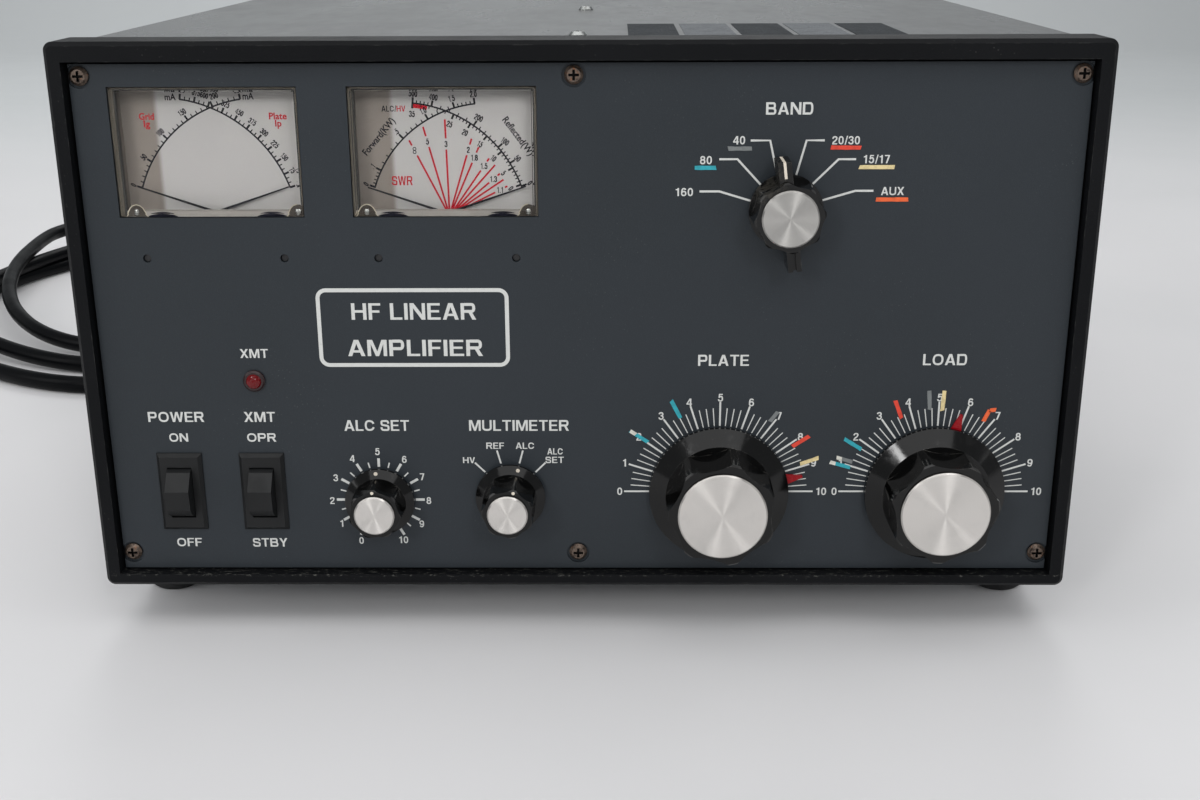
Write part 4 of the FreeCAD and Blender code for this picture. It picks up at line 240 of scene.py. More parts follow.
def bezel_paint():
    f = Finish("bezel_paint", rgb(14, 15, 17), 0.46, shine=0.10)
    f.blotch(14, 5.0, 0.4, 0.75, 0.5, rgb(23, 24, 26))
    worn(f, rgb(92, 92, 89), 0.0005, 130, 0.45)
    low_edge = f.both(*(f.along("Z", *limits) for limits in BEZEL_LOW_EDGE))
    chips = f.ramp(f.noise(1300, 5.0, 0.7, f.stretch(0.45, 1.0, 1.0)), 0.56, 0.66)
    f.tint(f.both(low_edge, chips), rgb(86, 86, 82))
    dusty(f, 520, rgb(120, 120, 116), 0.3)
    f.patchy(60, 4.0, 0.52)
    return f.bump(f.noise(1700, 3.0), 0.30, 0.0003)


def cover_paint():
    f = Finish("cover_paint", rgb(30, 29, 30), 0.27, Coat_Weight=0.45, Coat_Roughness=0.22)
    f.blotch(7, 5.0, 0.4, 0.7, 0.6, rgb(30, 29, 29))
    worn(f, rgb(96, 95, 92), 0.0008, 70, 0.7)
    dusty(f, 420, rgb(170, 168, 162), 0.55)
    smears = f.noise(18, 5.0, 0.6, f.stretch(1.0, 0.35, 1.0))
    f.gloss(f.ramp(smears, 0.42, 0.68), 0.38)
    return f.bump(f.noise(900, 2.0), 0.08, 0.0002)


def bare_steel(name, colour, roughness=0.34):
    f = Finish(name, colour, roughness, Metallic=0.95)
    grain = f.noise(900, 3.0, 0.6, f.stretch(0.06, 1.0, 1.0))
    f.blotch(24, 5.0, 0.45, 0.75, 0.5, shaded(colour, 0.6))
    f.gloss(f.ramp(grain, 0.35, 0.7), roughness + 0.16)
    return f.bump(grain, 0.12, 0.0001)


def screw_steel():
    f = Finish("screw_steel", rgb(112, 98, 88), 0.38, Metallic=0.85)
    f.tint(f.ramp(f.noise(420, 5.0, 0.7), 0.46, 0.66), rgb(58, 50, 46))
    f.blotch(700, 4.0, 0.58, 0.72, 1.0, rgb(136, 96, 72))
    worn(f, rgb(176, 166, 156), 0.0004, 600, 0.4)
    # Painted shade: the floor of the cross recess, and every side wall (recess walls and the head's rim), are
    # darkened where shade falls.
    recess_painted_shade = f.both(f.along("Y", *SCREW_RECESS_PAINTED_SHADE), f.ramp(f.facing("Y"), 0.93, 0.98))
    f.tint(recess_painted_shade, rgb(12, 11, 10))
    f.tint(f.ramp(f.facing("Y"), 0.25, 0.12), rgb(12, 11, 10))
    f.patchy(500, 4.0, 0.62)
    return f.bump(f.noise(1500, 4.0), 0.35, 0.0002)


def bright_screw():
    f = Finish("cover_screw_steel", rgb(186, 188, 186), 0.24, Metallic=1.0)
    f.blotch(500, 5.0, 0.5, 0.75, 0.7, rgb(96, 92, 84))
    f.patchy(900, 4.0, 0.42)
    return f.bump(f.noise(1800, 3.0), 0.15, 0.0001)


def moulded(name, colour, roughness, grain, strength, dust=0.25, wear=None, shine=0.5):
    """Moulded black plastic or rubber, with its mould grain, dust and rubbed edges."""
    f = Finish(name, colour, roughness, shine)
    f.blotch(40, 4.0, 0.4, 0.75, 0.5, shaded(colour, 1.7))
    if wear:
        worn(f, wear, 0.0005, 210, 0.6)
    dusty(f, 900, rgb(150, 148, 142), dust)
    f.patchy(110, 4.0, min(1.0, roughness + 0.14))
    return f.bump(f.noise(grain, 3.0), strength, 0.0002)


def knob_black():
    f = Finish("knob_black", rgb(7, 7, 7), 0.10, shine=0.34)
    f.blotch(60, 5.0, 0.45, 0.75, 0.5, rgb(13, 13, 13))
    # Lighter lines along the knob's edges: rubbed wear and a painted edge highlight.
    worn(f, rgb(104, 102, 98), 0.0004, 120, 0.8)
    dusty(f, 800, rgb(110, 104, 94), 0.2)
    rubbed = f.noise(220, 5.0, 0.7, f.stretch(1.0, 0.3, 1.0))
    f.gloss(f.ramp(rubbed, 0.50, 0.75), 0.26)
    return f.bump(f.noise(340, 3.0), 0.05, 0.0002)


def band_black():
    """The band knob's plastic: old grease and dust cling to its upper left."""
    f = knob_black()
    f.material.name = "band_black"
    upper = f.both(f.along("Z", *BAND_GRIME_Z), f.along("X", *BAND_GRIME_X))
    grime = f.both(upper, f.ramp(f.noise(420, 5.0, 0.7), 0.40, 0.60))
    f.tint(f.both(grime, 0.6), rgb(84, 80, 72))
    return f.gloss(grime, 0.75)


def spun_aluminium(name="spun_aluminium", colour=rgb(228, 224, 219)):
    f = Finish(name, colour, 0.34, Metallic=1.0, Anisotropic=0.92, Anisotropic_Rotation=0.25)
    f.put("Tangent", f.node("ShaderNodeTangent", direction_type="RADIAL", axis="Y").outputs[0])
    own = f.node("ShaderNodeTexCoord").outputs["Generated"]
    centred = f.node("ShaderNodeVectorMath", {0: own, 1: (0.5, 0.5, 0.5)}, operation="SUBTRACT").outputs[0]
    flat = f.node("ShaderNodeVectorMath", {0: centred, 1: (1.0, 0.0, 1.0)}, operation="MULTIPLY").outputs[0]
    radius = f.node("ShaderNodeVectorMath", {0: flat}, operation="LENGTH").outputs["Value"]
    rings = f.noise(260, 3.0, 0.6, f.node("ShaderNodeCombineXYZ", {"X": radius}).outputs[0])
    darker = shaded(colour, 0.62)
    f.tint(f.ramp(rings, 0.35, 0.7, 0.0, 0.35), darker)
    f.blotch(90, 4.0, 0.5, 0.8, 0.3, darker)
    # Painted shade, with some dirt: faces that turn away from Y, the caps' side walls, are darkened.
    f.tint(f.ramp(f.facing("Y"), 0.85, 0.4), rgb(62, 58, 54))
    f.gloss(f.ramp(rings, 0.3, 0.7), 0.36)
    return f.bump(rings, 0.10, 0.00005)


def dial_card():
    """Printed card, its white painted down to grey as the shade of its recess, with a painted shadow over the
    left part of each dial.
    """
    f = Finish("dial_card", rgb(178, 177, 180), 0.62, shine=0.2)
    f.blotch(14, 4.0, 0.4, 0.7, 0.5, rgb(170, 168, 168))
    # Painted shadow: the left part of each dial is darkened, as if a case wall shaded it.
    for low, high in CARD_PAINTED_SHADOWS:
        fade = f.along("X", high + CARD_PAINTED_SHADOW_BLUR, high - CARD_PAINTED_SHADOW_BLUR)
        f.tint(f.both(f.along("X", low, low + 0.001), fade), rgb(130, 123, 119))
    f.blotch(900, 3.0, 0.5, 0.8, 0.15, rgb(166, 163, 160))
    f.patchy(50, 3.0, 0.72)
    return f.bump(f.noise(1500, 3.0), 0.08, 0.0001)


def clear_acrylic():
    """Clear acrylic that casts hardly any shadow, with greyed side walls."""
    f = Finish("acrylic", rgb(246, 245, 241), 0.0, Transmission_Weight=1.0, IOR=1.22)
    sides = f.ramp(f.facing("Y"), 0.6, 0.3)
    f.tint(sides, rgb(96, 91, 84))
    f.gloss(sides, 0.35)
    f.put("Transmission Weight", f.sum("SUBTRACT", 1.0, sides))
    clear = f.node("ShaderNodeBsdfTransparent", {"Color": rgb(232, 232, 230)}).outputs[0]
    shadow = f.node("ShaderNodeLightPath").outputs["Is Shadow Ray"]
    both = f.node("ShaderNodeMixShader", {0: shadow, 1: f.shader.outputs[0], 2: clear})
    f.feed(f.tree.nodes["Material Output"].inputs["Surface"], both.outputs[0])
    return f


def lamp_red():
    f = Finish("lamp_red", rgb(98, 3, 8), 0.10, shine=0.35)
    f.tint(f.ramp(f.cells(900), 0.25, 0.05, 0.0, 0.6), rgb(60, 3, 6))
    f.patchy(400, 3.0, 0.26)
    return f.bump(f.cells(1100), 0.15, 0.0003)


def ink(name, colour, gaps=0.35, shine=0.5):
    """Screen-printed ink, a little thin in places."""
    f = Finish(name, colour, 0.50, shine)
    thin = shaded(colour, 0.55)
    f.tint(f.ramp(f.noise(700, 5.0, 0.7), 0.52, 0.72, 0.0, gaps), thin)
    f.patchy(300, 3.0, 0.62)
    return f.bump(f.noise(2400, 2.0), 0.1, 0.0001)


def red_pointer():
    f = Finish("pointer_red", rgb(142, 5, 17), 0.26, shine=0.25)
    f.blotch(260, 4.0, 0.5, 0.75, 0.6, rgb(112, 6, 16))
    f.patchy(500, 3.0, 0.32)
    return f.bump(f.noise(900, 2.0), 0.06, 0.0001)


def cord_black():
    f = Finish("cord_black", rgb(5, 6, 8), 0.32, shine=0.08)
    f.blotch(26, 5.0, 0.4, 0.75, 0.6, rgb(10, 11, 13))
    dusty(f, 500, rgb(90, 90, 87), 0.2)
    f.patchy(70, 4.0, 0.42)
    return f.bump(f.noise(1300, 2.0), 0.12, 0.0002)


def plain_part(name, colour, roughness, metallic=0.0, grain=900, **sockets):
    """What is inside the cabinet or small: a soft variation of colour, gloss and grain."""
    f = Finish(name, colour, roughness, Metallic=metallic, **sockets)
    f.blotch(45, 4.0, 0.4, 0.75, 0.5, shaded(colour, 0.7))
    f.patchy(130, 4.0, min(1.0, roughness + 0.15))
    return f.bump(f.noise(grain, 3.0), 0.12, 0.0001)


def vent_mesh(name, wire, gap):
    """Fine woven mesh, with painted shade in its gaps where the dark inside of the cabinet shows through."""
    f = Finish(name, wire, 0.7, shine=0.02)
    gaps = f.cells(1500)
    # Painted shade: the gaps are darkened as the unlit inside seen through the holes.
    f.tint(f.ramp(gaps, 0.45, 0.15), gap)
    f.blotch(160, 4.0, 0.42, 0.7, 0.35, gap)
    f.gloss(f.ramp(gaps, 0.3, 0.6), 0.6)
    return f.bump(gaps, 0.3, 0.0002)


def tape(name, colour):
    f = Finish(name, colour, 0.44)
    f.tint(f.ramp(f.noise(350, 5.0, 0.65), 0.45, 0.7, 0.0, 0.6), shaded(colour, 0.6))
    f.patchy(500, 3.0, 0.58)
    return f.bump(f.noise(500, 4.0, 0.6), 0.4, 0.0003)


FINISHES = {finish.name: finish for finish in (
    bezel_paint(),
    panel_paint(),
    cover_paint(),
    bare_steel("chassis_steel", rgb(176, 178, 180)),
    screw_steel(),
    bright_screw(),
    moulded("rubber", rgb(24, 24, 25), 0.72, 700, 0.4, 0.6),
    moulded("meter_black", rgb(30, 30, 32), 0.5, 900, 0.2),
    dial_card(),
    clear_acrylic(),
    plain_part("needle", rgb(12, 13, 24), 0.5, shine=0.2),
    moulded("switch_black", rgb(19, 20, 21), 0.46, 1500, 0.16, 0.12, rgb(58, 59, 58), 0.3),
    lamp_red(),
    moulded("lamp_black", rgb(34, 12, 14), 0.3, 1200, 0.08, 0.1),
    knob_black(),
    spun_aluminium(),
    red_pointer(),
    bare_steel("shaft_steel", rgb(188, 188, 190), 0.28),
    plain_part("switch_board", rgb(120, 82, 46), 0.55),
    bare_steel("capacitor_aluminium", rgb(202, 204, 206), 0.36),
    moulded("transformer_iron", rgb(34, 34, 38), 0.55, 500, 0.5),
    plain_part("tube_glass", rgb(222, 230, 230), 0.05, Transmission_Weight=1.0),
    plain_part("ceramic", rgb(236, 230, 216), 0.22),
    plain_part("copper", rgb(190, 112, 72), 0.3, 1.0),
    plain_part("can_blue", rgb(28, 46, 92), 0.35),
    moulded("fan_black", rgb(28, 28, 30), 0.45, 900, 0.15, 0.6),
    bare_steel("connector_nickel", rgb(198, 194, 184), 0.24),
    cord_black(),
)}
VENT_DARK = vent_mesh("vent_mesh_dark", rgb(62, 65, 68), rgb(30, 32, 34))
VENT_PALE = vent_mesh("vent_mesh_pale", rgb(114, 117, 120), rgb(80, 83, 86))
CLEAR_EDGE = plain_part("clear_edge", rgb(96, 90, 82), 0.42, grain=400)
CLEAR_RIM = plain_part("clear_rim", rgb(186, 178, 160), 0.22, grain=400)
CARD_FOOT = plain_part("card_foot", rgb(150, 146, 142), 0.3, grain=400)
BOSS_BROWN = plain_part("boss_brown", rgb(48, 41, 34), 0.30, grain=400)
INK_WHITE = ink("legend_white", rgb(206, 207, 204), 0.25)
INK_DARK = ink("dial_black", rgb(10, 11, 26), shine=0.1)
INK_RED = ink("dial_red", rgb(178, 10, 34), shine=0.1)
INK_CREAM = ink("index_cream", rgb(222, 212, 196), 0.15)
TAPES = {colour: tape(f"tape_{colour}", value) for colour, value in (
    ("teal", rgb(40, 162, 176)),
    ("grey", rgb(116, 120, 120)),
    ("red", rgb(222, 66, 44)),
    ("cream", rgb(226, 206, 152)),
    ("orange", rgb(232, 98, 46)),
    ("white", rgb(214, 212, 202)),
)}


def dress_nodes():
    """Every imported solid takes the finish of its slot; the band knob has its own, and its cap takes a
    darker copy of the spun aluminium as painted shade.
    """
    for part in frame["record"]["subparts"]:
        item = NODES[part["node"]]
        finish = FINISHES[part["material_slot"]]
        if part["node"] == "band_knob":
            finish = band_black()
        if part["node"] == "band_knob_cap":
            # A darker copy of the spun aluminium: painted shade for the dimmer reflection that the higher cap
            # catches.
            finish = spun_aluminium("spun_aluminium_painted_shade", rgb(190, 188, 184))
        item.data.materials.clear()
        item.data.materials.append(finish.material)


# ---- pieces ----


def add_piece(name, mesh, finish, body, smooth=False):
    item = new_object(name, mesh)
    mesh.materials.append(finish.material)
    if smooth:
        mesh.shade_smooth()
    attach(item, body)


def add_built(name, built, finish, body="chassis", smooth=False):
    """A piece from a bmesh, which is then freed."""
    mesh = bpy.data.meshes.new(name)
    built.to_mesh(mesh)
    built.free()
    add_piece(name, mesh, finish, body, smooth)


def capital_height():
    """The height of a capital of Blender's own lettering at size 1, to scale its words by."""
    curve = bpy.data.curves.new("probe", "FONT")
    curve.body = "H"
    item = new_object("probe", curve)
    bpy.context.view_layer.update()
    height = item.dimensions.y
    bpy.data.objects.remove(item)
    return height


CAPITAL = capital_height()
SMALL_BOLD = 0.022

# Lettering in hundredths of a capital's height: a character's width, and its parts, each with its
# points. A part is a filled shape (fill), an open stroke (pen) or a closed one (ring), drawn smooth.
STEM = 15.5
SPACE = 34
LETTER_GAP = 10
SLASH_GAP = 4
STROKE_LIFT = 0.004
POST = "fill 0,0 0,100 16,100 16,0"
LETTERS = {
    "A": (74, "fill 0,0 27,100 37,100 37,76 17,0", "fill 74,0 57,0 37,76 37,100 47,100",
          "fill 22.8,22 26.5,36 47.5,36 51.2,22"),
    "B": (70, POST, "pen 16,92 38,92 58,92 58,52 38,52 16,52", "pen 34,52 62,52 62,8 38,8 16,8"),
    "C": (72, "pen 65,66 60,92 8,92 8,8 60,8 65,34"),
    "D": (71, POST, "pen 16,92 34,92 63,92 63,8 34,8 16,8"),
    "E": (61, "fill 0,0 0,100 59,100 59,86 16,86 16,58 55,58 55,44 16,44 16,14 61,14 61,0"),
    "F": (56, "fill 0,0 0,100 56,100 56,86 16,86 16,57 51,57 51,43 16,43 16,0"),
    "H": (70, "fill 0,0 0,100 16,100 16,58 54,58 54,100 70,100 70,0 54,0 54,43 16,43 16,0"),
    "I": (16, POST),
    "L": (56, "fill 0,0 0,100 16,100 16,14 56,14 56,0"),
    "M": (84, "fill 0,0 0,100 22,100 42,28 62,100 84,100 84,0 69,0 69,74 49,0 35,0 15,74 15,0"),
    "N": (71, "fill 0,0 0,100 18,100 56,32 56,100 71,100 71,0 54,0 15,70 15,0"),
    "O": (78, "ring 8,8 8,92 70,92 70,8"),
    "P": (66, POST, "pen 16,92 36,92 58,92 58,46 36,46 16,46"),
    "R": (71, POST, "pen 16,92 38,92 61,92 61,50 38,50 16,50", "fill 36,43 53,43 71,0 53,0"),
    "S": (66, "pen 58,68 57,92 33,92 9,92 9,73 9,56 33,51 58,46 58,27 58,8 33,8 8,8 7,33"),
    "T": (63, "fill 24,0 24,86 0,86 0,100 63,100 63,86 39,86 39,0"),
    "U": (70, "pen 8,100 8,50 8,8 62,8 62,50 62,100"),
    "V": (68, "fill 0,100 17,100 34,24 51,100 68,100 43,0 25,0"),
    "W": (97, "fill 0,100 16,100 26,26 40,100 57,100 71,26 81,100 97,100 80,0 63,0 48.5,74 34,0 17,0"),
    "X": (69, "fill 0,100 19,100 34.5,66 50,100 69,100 44,52 69,0 50,0 34.5,36 19,0 0,0 25,52"),
    "Y": (68, "fill 0,100 18,100 34,60 50,100 68,100 42,42 42,0 26,0 26,42"),
    "0": (56, "ring 8,8 8,92 48,92 48,8"),
    "1": (50, "fill 25,0 25,72 7,72 7,84 21,88 28,100 41,100 41,0"),
    "2": (56, "pen 8,68 9,92 48,92 48,62 30,40 12,25 10,10", "fill 2,0 2,14 55,14 55,0"),
    "3": (57, "pen 9,73 11,92 47,92 47,53 24,53", "pen 24,53 49,53 49,8 8,8 8,30"),
    "4": (58, "fill 35,0 35,22 0,22 0,36 35,36 35,100 51,100 51,36 58,36 58,22 51,22 51,0",
          "fill 0,36 33,100 35,100 35,78 15,36"),
    "5": (57, "fill 12,100 52,100 52,86 24,86 21,58 7,50", "pen 12,51 22,66 49,66 49,8 8,8 8,30"),
    "6": (57, "ring 8,8 8,58 49,58 49,8", "pen 8,33 8,92 44,92 47,77"),
    "7": (55, "fill 2,100 54,100 54,87 30,0 13,0 37,86 2,86"),
    "8": (57, "ring 11,53 11,92 46,92 46,53", "ring 8,8 8,53 49,53 49,8"),
    "9": (57, "ring 8,42 8,92 49,92 49,42", "pen 49,67 49,8 13,8 10,23"),
    "/": (34, "fill 0,-4 22,104 34,104 12,-4"),
    ".": (16, "fill 0,0 0,16 16,16 16,0"),
}


def soft_line(points, closed):
    """A soft curve that is led by these points, and ends on the first and last where it is open."""
    count = len(points)
    steps = 5
    line = []
    for i in range(count if closed else count - 2):
        a, b, c = (points[(i + k) % count] for k in range(3))
        start = a if not closed and i == 0 else ((a[0] + b[0]) / 2, (a[1] + b[1]) / 2)
        end = c if not closed and i == count - 3 else ((b[0] + c[0]) / 2, (b[1] + c[1]) / 2)
        for k in range(steps):
            t = k / steps
            weights = ((1 - t) ** 2, 2 * t * (1 - t), t ** 2)
            line.append(tuple(sum(w * p[d] for w, p in zip(weights, (start, b, end))) for d in (0, 1)))
    if not closed:
        line.append(points[-1])
    return line


class Print:
    """Ink on a face that looks forward: lines, arcs, shapes and words, gathered in one mesh."""

    def __init__(self, y, thickness=0.04):
        self.y = y
        self.thickness = thickness
        self.points = []
        self.faces = []

    def shape(self, corners):
        """A thin closed solid over an outline of (x, z) corners in millimetres."""
        area = 0.0
        for (x0, z0), (x1, z1) in zip(corners, corners[1:] + corners[:1]):
            area += x0 * z1 - x1 * z0
        if area < 0:
            corners = corners[::-1]
        start = len(self.points)
        count = len(corners)
        for depth in (self.thickness, 0.0):
            self.points += [spot(x, self.y - depth, z) for x, z in corners]
        self.faces.append([start + i for i in range(count)])
        self.faces.append([start + count + i for i in reversed(range(count))])
        for i in range(count):
            j = (i + 1) % count
            self.faces.append([start + i, start + count + i, start + count + j, start + j])

    def line(self, a, b, width):
        ax, az = a
        bx, bz = b
        length = hypot(bx - ax, bz - az)
        nx = (bz - az) / length / 2
        nz = (ax - bx) / length / 2
        self.shape([(ax + nx * width, az + nz * width), (bx + nx * width, bz + nz * width),
                    (bx - nx * width, bz - nz * width), (ax - nx * width, az - nz * width)])

    def arc(self, centre, radius, start, end, width, steps=40):
        """A band about a centre; angles in degrees from upright, clockwise."""
        inner = radius - width / 2
        outer = radius + width / 2
        for i in range(steps):
            low, high = (start + (end - start) * k / steps for k in (i, i + 1))
            self.shape([polar(centre, inner, low), polar(centre, outer, low),
                        polar(centre, outer, high), polar(centre, inner, high)])

    def tick(self, centre, inner, outer, turn, width):
        self.line(polar(centre, inner, turn), polar(centre, outer, turn), width)

    def ribbon(self, line, width, closed, lift=0.0):
        """A band of even width along a line of (x, z) points, as one closed solid."""
        count = len(line)
        start = len(self.points)
        front = self.thickness + lift
        for i, (x, z) in enumerate(line):
            before = line[i - 1] if i or closed else line[0]
            after = line[(i + 1) % count] if i < count - 1 or closed else line[-1]
            length = hypot(after[0] - before[0], after[1] - before[1])
            nx = (after[1] - before[1]) / length * width / 2
            nz = (before[0] - after[0]) / length * width / 2
            for side, depth in ((1, front), (-1, front), (-1, 0.0), (1, 0.0)):
                self.points.append(spot(x + side * nx, self.y - depth, z + side * nz))
        for i in range(count if closed else count - 1):
            a = start + 4 * i
            b = start + 4 * ((i + 1) % count)
            for k in range(4):
                self.faces.append([a + k, a + (k + 1) % 4, b + (k + 1) % 4, b + k])
        if not closed:
            last = start + 4 * (count - 1)
            self.faces.append([start + k for k in reversed(range(4))])
            self.faces.append([last + k for k in range(4)])

    def words(self, text, x, z, height, width=None, turn=0.0, squeeze=1.0, stem=STEM):
        """Words centred on (x, z), with capitals of this height, and of this width where it is given."""
        if any(sign not in LETTERS and sign != " " for sign in text):
            self.small_words(text, x, z, height, width, turn, squeeze)
            return
        advance = 0.0
        placed = []
        for sign in text:
            if sign == " ":
                advance += SPACE
                continue
            placed.append((sign, advance))
            advance += LETTERS[sign][0] + (SLASH_GAP if sign == "/" else LETTER_GAP)
        total = advance - LETTER_GAP
        tall = height / 100
        wide = width / total if width else tall * squeeze
        c = cos(radians(turn))
        s = sin(radians(turn))

        def put(points, offset):
            out = []
            for across, up in points:
                u = (across + offset - total / 2) * wide
                v = (up - 50) * tall
                out.append((x + u * c - v * s, z + u * s + v * c))
            return out

        for sign, offset in placed:
            for layer, part in enumerate(LETTERS[sign][1:]):
                kind, *pairs = part.split()
                points = [tuple(float(value) for value in pair.split(",")) for pair in pairs]
                if kind == "fill":
                    self.shape(put(points, offset))
                else:
                    closed = kind == "ring"
                    line = put(soft_line(points, closed), offset)
                    self.ribbon(line, stem * (wide + tall) / 2, closed, STROKE_LIFT * (layer + 1))

    def small_words(self, text, x, z, height, width, turn, squeeze):
        """Blender's own lettering, for words with small letters."""
        curve = bpy.data.curves.new("words", "FONT")
        curve.body = text
        curve.offset = SMALL_BOLD
        curve.resolution_u = 3
        curve.extrude = self.thickness / 2 / height * CAPITAL
        item = new_object("words", curve)
        mesh = bpy.data.meshes.new_from_object(item.evaluated_get(bpy.context.evaluated_depsgraph_get()))
        bpy.data.objects.remove(item)
        xs = [v.co.x for v in mesh.vertices]
        ys = [v.co.y for v in mesh.vertices]
        tall = height / CAPITAL
        wide = width / (max(xs) - min(xs)) if width else tall * squeeze
        middle = ((max(xs) + min(xs)) / 2, (max(ys) + min(ys)) / 2)
        c = cos(radians(turn))
        s = sin(radians(turn))
        start = len(self.points)
        for v in mesh.vertices:
            across = (v.co.x - middle[0]) * wide
            up = (v.co.y - middle[1]) * tall
            depth = self.y - self.thickness / 2 - v.co.z * tall
            self.points.append(spot(x + across * c - up * s, depth, z + across * s + up * c))
        self.faces += [[start + i for i in face.vertices] for face in mesh.polygons]
        bpy.data.meshes.remove(mesh)

    def piece(self, name, finish, slot, body="chassis"):
        mesh = bpy.data.meshes.new(name)
        mesh.from_pydata(self.points, [], self.faces)
        mesh.validate()
        add_piece(name, mesh, finish, body)


PLATE = (49.7, 36.4)
LOAD = (128.1, 36.4)
ALC = (-74.3, 33.1)
MULTIMETER = (-26.3, 34.75)
BAND = (70.5, 140.4)
BAND_REST = -7.5
ALC_REST = -3.5
MULTIMETER_REST = 15.0


def print_panel():
    p = Print(PANEL_Y)
    for centre in (PLATE, LOAD):
        for step in range(41):
            outer, width = (32.2, 0.36) if step % 4 else (34.5, 0.64)
            p.tick(centre, 25.4, outer, -90 + step * 4.5, width)
        for number in range(11):
            turn = -90 + number * 18
            x, z = polar(centre, 36.1 if number < 10 else 37.5, turn)
            p.words(str(number), x, z, 2.9, squeeze=1.16)
    for step in range(21):
        outer, width = (15.0, 0.50) if step % 2 else (16.2, 0.95)
        p.tick(ALC, 12.9, outer, -150 + step * 15, width)
    spots = ((-8.0, -16.4), (-14.9, -9.5), (-17.9, -0.4), (-16.1, 8.6), (-9.6, 16.1), (-0.3, 18.8),
             (9.4, 15.8), (15.6, 9.0), (17.7, -0.4), (14.7, -9.7), (7.6, -16.1))
    for number, (x, z) in enumerate(spots):
        p.words(str(number), ALC[0] + x, ALC[1] + z, 2.7, squeeze=1.14)
    for turn in (-45, -15, 15, 45):
        p.tick(MULTIMETER, 13.0, 18.2, turn, 0.62)
    kinks = ((40.9, 47.65, 146.9), (47.4, 53.6, 157.9), (57.9, 64.5, 164.2),
             (82.9, 76.8, 164.2), (93.8, 87.9, 157.8), (100.25, 94.1, 147.0))
    for (end, kink, height), turn in zip(kinks, (-75, -45, -15, 15, 45, 75)):
        p.ribbon([polar(BAND, 12.4, turn), (kink, height), (end, height)], 0.72, False)
    legends = (
        ("BAND", 70.7, 174.9, 4.1, 15.9), ("160", 35.6, 146.7, 2.8, 6.2), ("80", 42.9, 157.6, 2.8, 4.1),
        ("40", 54.0, 164.3, 2.8, 4.1), ("20/30", 90.1, 164.2, 2.8, 9.4), ("15/17", 100.7, 157.8, 2.8, 9.1),
        ("AUX", 106.8, 146.9, 2.8, 7.8), ("PLATE", 50.5, 86.5, 4.1, 18.1), ("LOAD", 129.0, 86.7, 4.1, 15.6),
        ("ALC SET", -74.3, 62.0, 4.1, 23.5), ("MULTIMETER", -22.8, 62.0, 4.1, 36.1),
        ("HV", -41.3, 48.6, 2.3, 4.4), ("REF", -31.6, 54.2, 2.4, 6.5), ("ALC", -20.8, 54.2, 2.4, 6.7),
        ("ALC", -9.9, 52.0, 2.4, 5.6), ("SET", -10.1, 48.7, 2.4, 6.7), ("POWER", -146.8, 65.3, 3.8, 20.3),
        ("ON", -146.6, 57.4, 3.2, 6.9), ("OFF", -146.5, 16.0, 3.3, 9.3), ("XMT", -116.5, 65.3, 3.8, 11.2),
        ("OPR", -116.4, 57.4, 3.2, 10.6), ("STBY", -116.4, 15.9, 3.4, 12.9), ("XMT", -116.6, 89.2, 3.3, 10.0),
        ("HF LINEAR", -59.0, 104.6, 6.0, 44.0), ("AMPLIFIER", -59.0, 91.2, 6.0, 48.0),
    )
    for text, x, z, height, width in legends:
        p.words(text, x, z, height, width)
    p.piece("panel_legends", INK_WHITE, "legend_white")


def rounded_box(left, right, bottom, top, radius):
    steps = 8
    corners = []
    middles = ((right - radius, top - radius), (right - radius, bottom + radius),
               (left + radius, bottom + radius), (left + radius, top - radius))
    for quarter, middle in enumerate(middles):
        for i in range(steps + 1):
            corners.append(polar(middle, radius, quarter * 90 + 90 * i / steps))
    return corners


def print_name_box():
    """The white outline round the panel's name."""
    p = Print(PANEL_Y)
    outer = rounded_box(-93.3, -25.4, 84.2, 113.0, 3.6)
    inner = rounded_box(-91.9, -26.8, 85.6, 111.6, 2.2)
    count = len(outer)
    for i in range(count):
        j = (i + 1) % count
        p.shape([outer[i], outer[j], inner[j], inner[i]])
    p.piece("name_outline", INK_WHITE, "legend_white")


TAPE_WIDTH = 1.4
TAPE_THICKNESS = 0.14
TAPE_STEPS = 6
TAPE_WAVER = 0.08
TAPE_SLANT = 0.25


